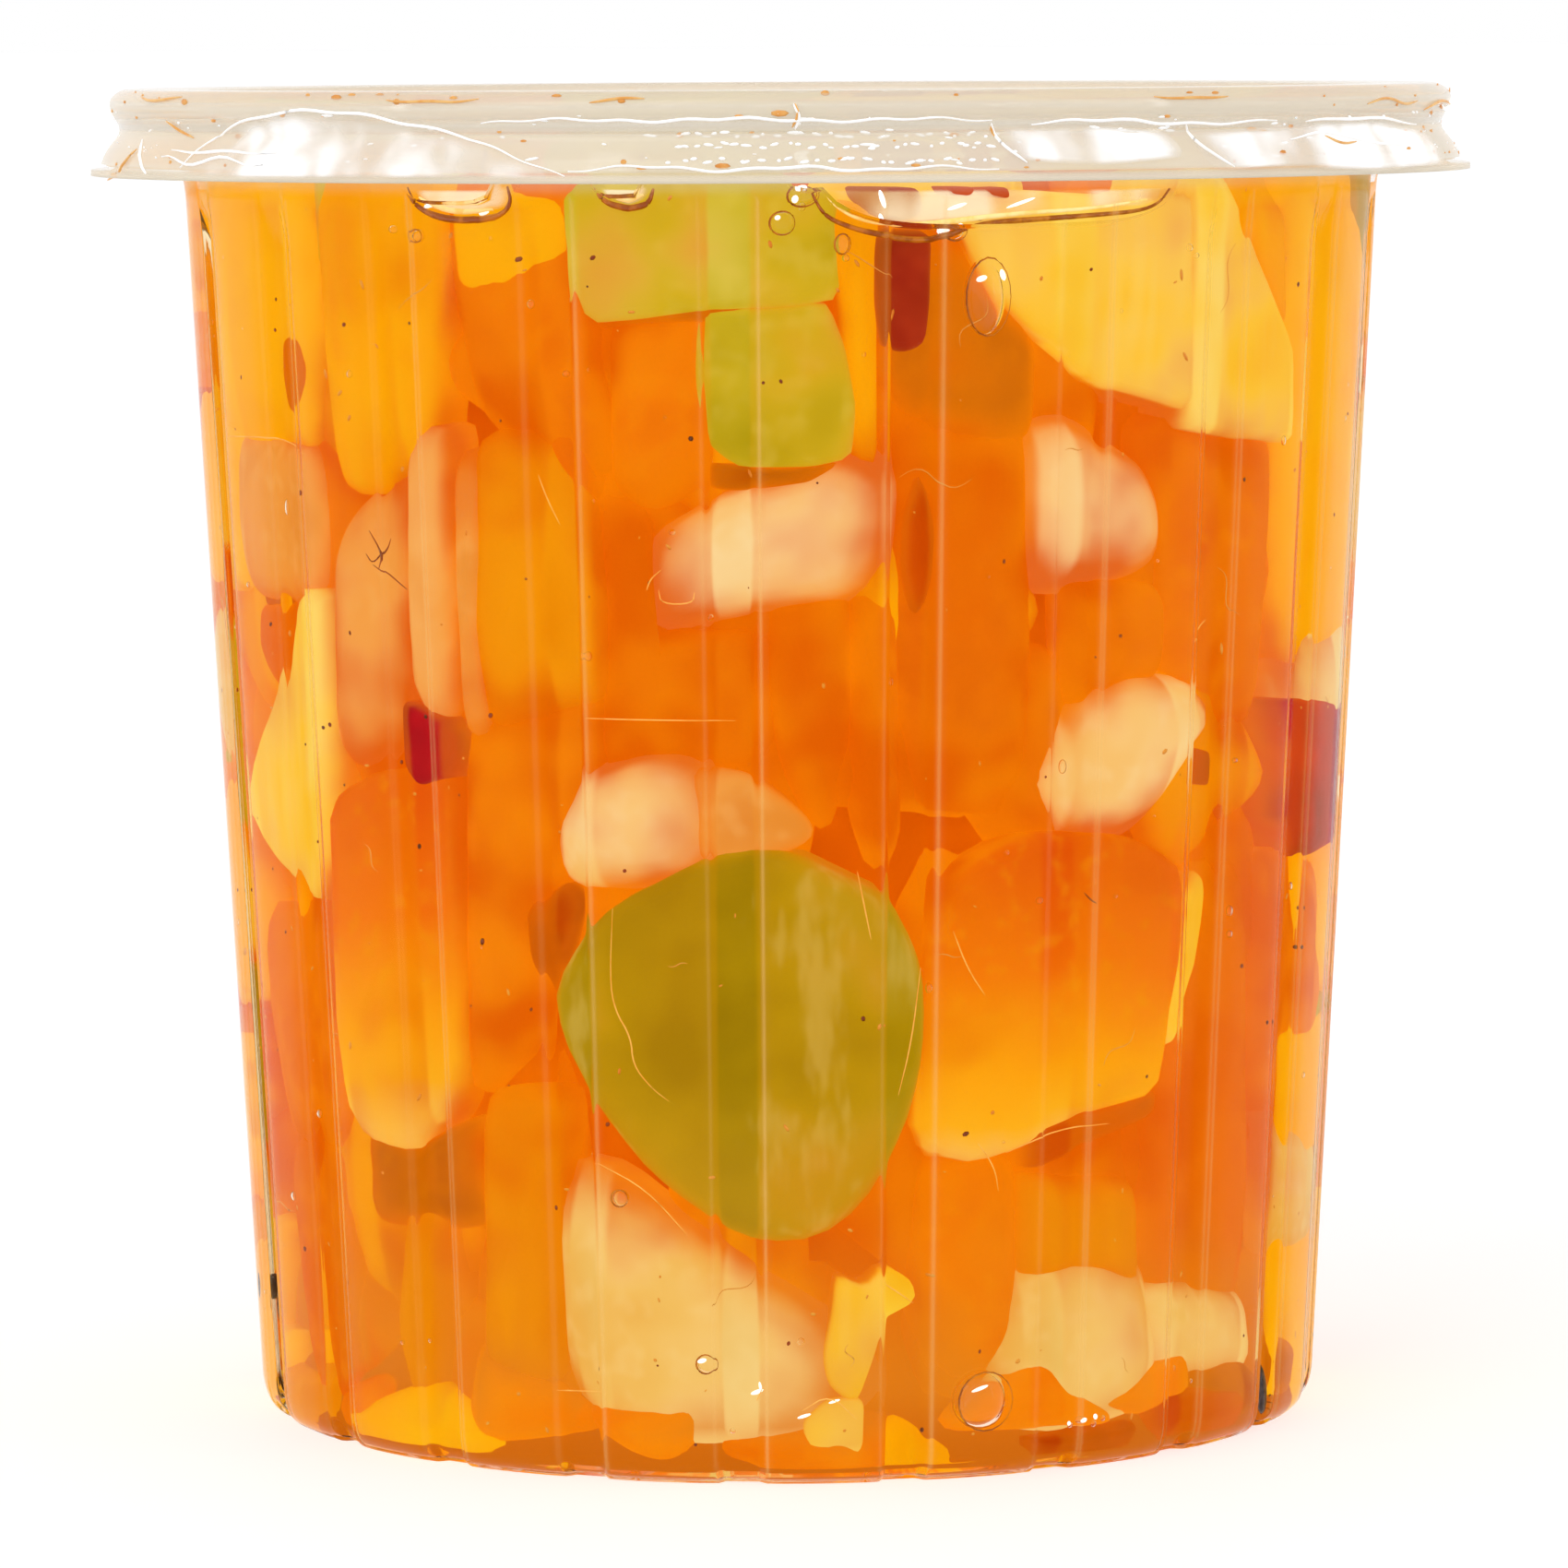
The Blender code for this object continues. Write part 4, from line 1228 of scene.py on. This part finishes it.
def make_seeds():
    seeds = Scatter("seeds", spotted("seed_shell", srgb(46, 36, 44), srgb(90, 70, 72), 0.25, 0.0))
    for x, y, width, tall, turn in SEEDS:
        u, v = on_wall(x, y)
        seeds.add(u, v, -0.2 * MM, width * MM, tall * MM, 0.5 * MM, turn, 10, 14)
    seeds.build()


def thread(name, paths, radius, material):
    """Thin round strands along lists of points in space, joined into one mesh."""
    points, faces = [], []
    for path in paths:
        path = [Vector(point) for point in path]
        start = len(points)
        for number, middle in enumerate(path):
            before, after = path[max(0, number - 1)], path[min(len(path) - 1, number + 1)]
            along = (after - before).normalized()
            side = along.orthogonal().normalized()
            up = along.cross(side)
            share = number / (len(path) - 1)
            thick = radius * (0.25 + 0.75 * math.sin(math.pi * min(0.95, max(0.05, share))))
            for corner in range(6):
                turn = math.pi / 3 * corner
                points.append(middle + (side * math.cos(turn) + up * math.sin(turn)) * thick)
        faces.extend(strip_faces(len(path), 6, start))
        faces.append(tuple(range(start, start + 6)))
        faces.append(tuple(range(len(points) - 1, len(points) - 7, -1)))
    return mesh_object(name, points, faces, material)


def wavy_path(u, v, length, turn, bend, steps=10):
    """A gently curved line on the wall about a place."""
    points = []
    for step in range(steps + 1):
        share = step / steps - 0.5
        along = share * length
        side = bend * math.sin(share * math.pi * 2)
        right = along * math.cos(turn) - side * math.sin(turn)
        up = along * math.sin(turn) + side * math.cos(turn)
        points.append(wall_point(u + right, v + up, 0.0))
    return points


# How far the marks on the lid stand out of its skirt
LID_PROUD = 0.16 * MM
# The cylinder on which the pixels of the skirt are read
LID_READ_RADIUS = 58.2 * MM


def lid_radius(z):
    """Outer radius of the lid's skirt at height z."""
    radii, heights = np.array(LID_SKIRT[::-1]).T * MM
    return float(np.interp(z, heights, radii))


def lid_point(u, v, depth):
    azimuth = u / UNROLL
    radius = lid_radius(v) + LID_PROUD - depth
    return (radius * math.sin(azimuth), -radius * math.cos(azimuth), min(v, LID_TOP - 0.3 * MM))


def on_lid(x, y):
    azimuth, z = on_cone(x, y, LID_READ_RADIUS, 0.0)
    return azimuth * UNROLL, z


def softened(pixels, rounds=2):
    """Cut the corners of a line of pixels."""
    for _ in range(rounds):
        cut = [pixels[0]]
        for (x0, y0), (x1, y1) in zip(pixels, pixels[1:]):
            cut.append((0.75 * x0 + 0.25 * x1, 0.75 * y0 + 0.25 * y1))
            cut.append((0.25 * x0 + 0.75 * x1, 0.25 * y0 + 0.75 * y1))
        pixels = [*cut, pixels[-1]]
    return pixels


def path_along(pixels, steps, place):
    """The points that place(x, y) gives along a softened line of photo pixels."""
    pixels = softened(pixels)
    points = []
    for (x0, y0), (x1, y1) in zip(pixels, pixels[1:]):
        for step in range(steps):
            share = step / steps
            points.append(place(x0 + (x1 - x0) * share, y0 + (y1 - y0) * share))
    return points


def lid_path(pixels):
    """Points on the lid's skirt, with a slight wave."""
    return path_along(pixels, 3, lambda x, y: lid_point(*on_lid(x, y + 1.2 * math.sin(x / 11.0)), 0.0))


def wall_path(pixels):
    """Points just behind the wall."""
    return path_along(pixels, 2, lambda x, y: wall_point(*on_wall(x, y), -0.2 * MM))


# Marks on the lid's skirt, as pixels of the photo: gleams that are painted highlights, drips and films
LID_GLEAMS = (
    ((207, 182), (223, 149), (262, 131), (318, 119), (386, 122), (442, 135), (491, 145), (553, 167),
        (618, 192)),
    ((520, 134), (600, 128), (700, 133), (800, 127), (900, 133), (1000, 127), (1078, 131)),
    ((1120, 134), (1200, 128), (1290, 136), (1390, 130)),
    ((1420, 132), (1480, 126), (1545, 134)),
    ((620, 186), (700, 178), (780, 187), (860, 179), (940, 186), (1010, 179), (1080, 184)),
    ((1076, 134), (1086, 158), (1110, 176)),
    ((1290, 136), (1300, 160), (1330, 180)),
    ((150, 150), (164, 176), (172, 190)),
    ((1400, 150), (1450, 142), (1500, 160), (1540, 152)),
    ((860, 112), (868, 128), (862, 140)),
)
LID_DRIPS = (
    ((140, 192), (146, 176), (152, 160)),
    ((130, 196), (138, 190), (146, 192)),
    ((152, 104), (170, 110), (196, 106)),
    ((862, 112), (866, 124), (859, 138)),
    ((1076, 138), (1082, 150)),
    ((1480, 112), (1502, 106), (1520, 114), (1534, 108)),
    ((1544, 118), (1560, 108), (1570, 114)),
    ((178, 132), (190, 146), (204, 150)),
    ((420, 108), (470, 112), (520, 107)),
    ((1250, 104), (1300, 108), (1330, 103)),
    ((1440, 148), (1452, 156), (1470, 152)),
    ((640, 110), (700, 106)),
)
LID_FILMS = (
    ((206, 190), (222, 152), (262, 134), (318, 122), (386, 125), (440, 138), (500, 150), (556, 170),
        (612, 193), (400, 194), (260, 194)),
    ((1296, 146), (1400, 134), (1500, 130), (1550, 142), (1556, 176), (1480, 186), (1380, 180), (1310, 184)),
    ((1085, 140), (1180, 136), (1270, 142), (1280, 170), (1180, 180), (1100, 172)),
)
# How many extra painted highlight lines, stains and painted glints the lid gets
LID_LINES = 14
LID_STAINS = 170
LID_GLINTS = 220
# Painted highlights clustered in the middle of the skirt
LID_CLUSTER = [(x, y) for x in range(730, 1090, 14) for y in (146, 158, 174)]


def make_lid_marks():
    dice = random.Random(SEED + 4)
    # The gleams are painted highlights: white lines on the skirt
    gleams = [lid_path(pixels) for pixels in LID_GLEAMS]
    for _ in range(LID_LINES):
        start, z = dice.uniform(60, 300), dice.uniform(109.6, 114.2) * MM
        length, wave = dice.uniform(4, 16), dice.uniform(0.1, 0.5) * MM
        angles = np.radians(np.linspace(start, start + length, 14))
        gleams.append([lid_point(a * UNROLL, z + wave * math.sin(a * 40), 0.0) for a in angles])
    white = spotted("lid_gleam", srgb(255, 255, 255), srgb(250, 248, 244), 0.2, 0.4)
    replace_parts(thread("lid_gleams", gleams, 0.14 * MM, white), "lid")
    tan = spotted("lid_drip", srgb(236, 184, 112), srgb(226, 158, 76), 0.4, 0.35)
    drips = [lid_path(pixels) for pixels in LID_DRIPS]
    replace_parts(thread("lid_drips", drips, 0.13 * MM, tan), "lid")
    white_film = film_material("lid_film", srgb(236, 226, 214), srgb(253, 251, 249), 0.2, 0.95)
    film = Kind("lid_films", white_film, 1.6, 0.0)
    for pixels in LID_FILMS:
        film.add_chunk(corners_on(on_lid, pixels), 0.0, dice, lid_point, 0.06 * MM, relief=0.1)
    film.build("clear_lid", "lid")
    stain = spotted("juice_stain", srgb(236, 172, 92), srgb(220, 140, 56), 0.4, 0.3)
    stains = Scatter("lid_stains", stain, "clear_lid")
    for _ in range(LID_STAINS):
        u, v = dice.uniform(-math.pi, math.pi) * UNROLL, dice.choice((109.6, 111.8, 113.4, 114.9)) * MM
        v += dice.uniform(-0.5, 0.4) * MM
        size = dice.uniform(0.08, 0.3) * MM
        stains.add_on_lid(u, v, 0.15 * MM, size * dice.uniform(1, 3), size, 0.06 * MM)
    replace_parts(stains.build(), "lid")
    # Painted highlights: small white glints over the skirt
    glints = Scatter("lid_glints", white, "clear_lid")
    for _ in range(LID_GLINTS):
        u, v = anywhere(dice, 109.6, 113.6)
        size = dice.uniform(0.06, 0.2) * MM
        width, turn = size * dice.uniform(1, 4), dice.uniform(-0.2, 0.2)
        glints.add_on_lid(u, v, 0.12 * MM, width, size * 0.7, 0.05 * MM, turn)
    for x, y in LID_CLUSTER:
        u, v = on_lid(x + dice.uniform(-6, 6), y + dice.uniform(-3, 3))
        width, turn = dice.uniform(0.15, 0.5) * MM, dice.uniform(-0.3, 0.3)
        glints.add_on_lid(u, v, 0.12 * MM, width, 0.14 * MM, 0.05 * MM, turn)
    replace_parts(glints.build(), "lid")


# Scratches, torn skins and scars against the wall, as pixels of the photo
PALE_MARKS = (
    ((635, 779), (700, 781), (800, 782)),
    ((713, 640), (716, 655), (750, 655), (752, 642)),
    ((580, 515), (592, 545), (605, 570)),
    ((1035, 1010), (1050, 1050), (1070, 1080)),
    ((600, 1508), (653, 1510)),
    ((663, 985), (660, 1060), (665, 1095), (683, 1125), (685, 1155), (705, 1180), (725, 1195)),
    ((930, 945), (938, 985), (945, 1020)),
    ((1000, 1050), (990, 1130), (975, 1190)),
    ((1295, 700), (1304, 680), (1312, 672)),
    ((955, 1390), (975, 1402), (992, 1414)),
    ((820, 1520), (830, 1505)),
    ((1062, 1240), (1080, 1266), (1084, 1292)),
    ((700, 640), (704, 628), (716, 618)),
    ((648, 1262), (700, 1290), (745, 1340)),
    ((1092, 1250), (1150, 1225), (1205, 1218)),
    ((250, 472), (300, 474), (330, 492)),
    ((870, 1530), (900, 1512), (930, 1540)),
)
DARK_MARKS = (
    ((395, 600), (402, 612), (414, 596), (418, 584)),
    ((402, 612), (420, 626), (438, 640)),
    ((398, 575), (412, 600), (408, 618)),
    ((1180, 968), (1192, 980)),
)


def make_marks():
    pale = spotted("torn_skin", srgb(250, 190, 90), srgb(240, 166, 60), 0.4, 0.4)
    thread("torn_skins", [wall_path(pixels) for pixels in PALE_MARKS], 0.06 * MM, pale)
    dark = spotted("dark_fibre", srgb(176, 84, 8), srgb(140, 60, 6), 0.4, 0.2)
    thread("dark_fibres", [wall_path(pixels) for pixels in DARK_MARKS], 0.07 * MM, dark)


def make_fibres():
    dice = random.Random(SEED + 3)
    pale = []
    for _ in range(FIBRE_COUNT):
        u, v = anywhere(dice, 5, 104)
        length, turn, bend = dice.uniform(1.5, 6) * MM, dice.uniform(0, math.pi), dice.uniform(-0.8, 0.8) * MM
        pale.append(wavy_path(u, v, length, turn, bend))
    material = spotted("pale_fibre", srgb(252, 190, 90), srgb(248, 168, 60))
    thread("pale_fibres", pale, 0.05 * MM, material)


# Light, floor and camera

FLOOR_SIDE = 60.0
FLOOR_GLOW = 0.42
# The room round the camera is dim, so little of it shows on the outside of the tub
REFLECTED_ROOM = 0.1
# Place, width, height and power of each lamp. All of them aim at the middle of the tub
LAMP_AIM = Vector((0.0, 0.0, 0.06))
LAMPS = (
    ("key", (-0.55, -0.9, 0.9), 0.7, 0.7, 2.2),
    ("left_strip", (-0.75, -0.35, 0.16), 0.04, 0.6, 0.3),
    ("right_strip", (0.75, -0.35, 0.16), 0.04, 0.6, 0.3),
)


def make_stage():
    material, tree = new_material("studio_floor")
    tone = mix_colour(tree, noise_value(tree, 4.0), (0.93, 0.93, 0.93), (0.96, 0.96, 0.96))
    shade(tree, {
        "Base Color": tone, "Roughness": 0.7, "Specular IOR Level": 0.2,
        "Emission Color": (1.0, 1.0, 1.0, 1.0), "Emission Strength": FLOOR_GLOW})
    corners = [(x * FLOOR_SIDE, y * FLOOR_SIDE, 0.0) for x, y in ((-1, -1), (1, -1), (1, 1), (-1, 1))]
    mesh = bpy.data.meshes.new("floor")
    mesh.from_pydata(corners, [], [(0, 1, 2, 3)])
    mesh.materials.append(material)
    floor = bpy.data.objects.new("floor", mesh)
    link(floor)
    floor.location.z = -0.05 * MM
    floor.visible_glossy = False


def make_world():
    """Bright all round at eye level and softer overhead."""
    world = bpy.data.worlds.new("studio")
    world.use_nodes = True
    tree = world.node_tree
    tree.nodes.clear()
    direction = add(tree, "ShaderNodeTexCoord").outputs["Generated"]
    height = add(tree, "ShaderNodeSeparateXYZ", {0: direction}).outputs["Z"]
    tone = ramp(tree, height, (0.0, (1.0, 1.0, 1.0)), (0.3, (1.0, 1.0, 1.0)), (0.8, (0.45, 0.45, 0.46)))
    path = add(tree, "ShaderNodeLightPath")
    first = maths(tree, "LESS_THAN", path.outputs["Ray Depth"], 1.5)
    reflected = maths(tree, "MULTIPLY", path.outputs["Is Glossy Ray"], first)
    strength = remap(tree, reflected, 0.0, 1.0, 1.0, REFLECTED_ROOM)
    background = add(tree, "ShaderNodeBackground", {"Color": tone, "Strength": strength})
    add(tree, "ShaderNodeOutputWorld", {"Surface": background.outputs[0]})
    bpy.context.scene.world = world


def make_lights():
    for name, place, width, height, power in LAMPS:
        light = bpy.data.lights.new(name, "AREA")
        light.shape = "RECTANGLE"
        light.size = width
        light.size_y = height
        light.energy = power
        item = bpy.data.objects.new(name, light)
        item.location = place
        item.rotation_euler = (LAMP_AIM - Vector(place)).to_track_quat("-Z", "Y").to_euler()
        link(item)


def make_camera():
    camera = bpy.data.cameras.new("photo_camera")
    camera.sensor_width = SENSOR
    camera.lens = LENS
    camera.clip_end = 200.0
    item = bpy.data.objects.new("photo_camera", camera)
    item.matrix_world = CAMERA
    link(item)
    bpy.context.scene.camera = item


# Light turns many corners inside clear plastic before it comes out
BOUNCES = {
    "max_bounces": 11, "diffuse_bounces": 0, "glossy_bounces": 8, "transmission_bounces": 11,
    "transparent_max_bounces": 8}


def main():
    scene = bpy.context.scene
    scene.view_settings.view_transform = "Standard"
    for name, most in BOUNCES.items():
        setattr(scene.cycles, name, most)
    make_camera()
    make_tub()
    make_core()
    make_fruit()
    make_juice()
    make_bubbles()
    make_menisci()
    make_specks()
    make_seeds()
    make_fibres()
    make_marks()
    make_lid_marks()
    make_stage()
    make_world()
    make_lights()


main()
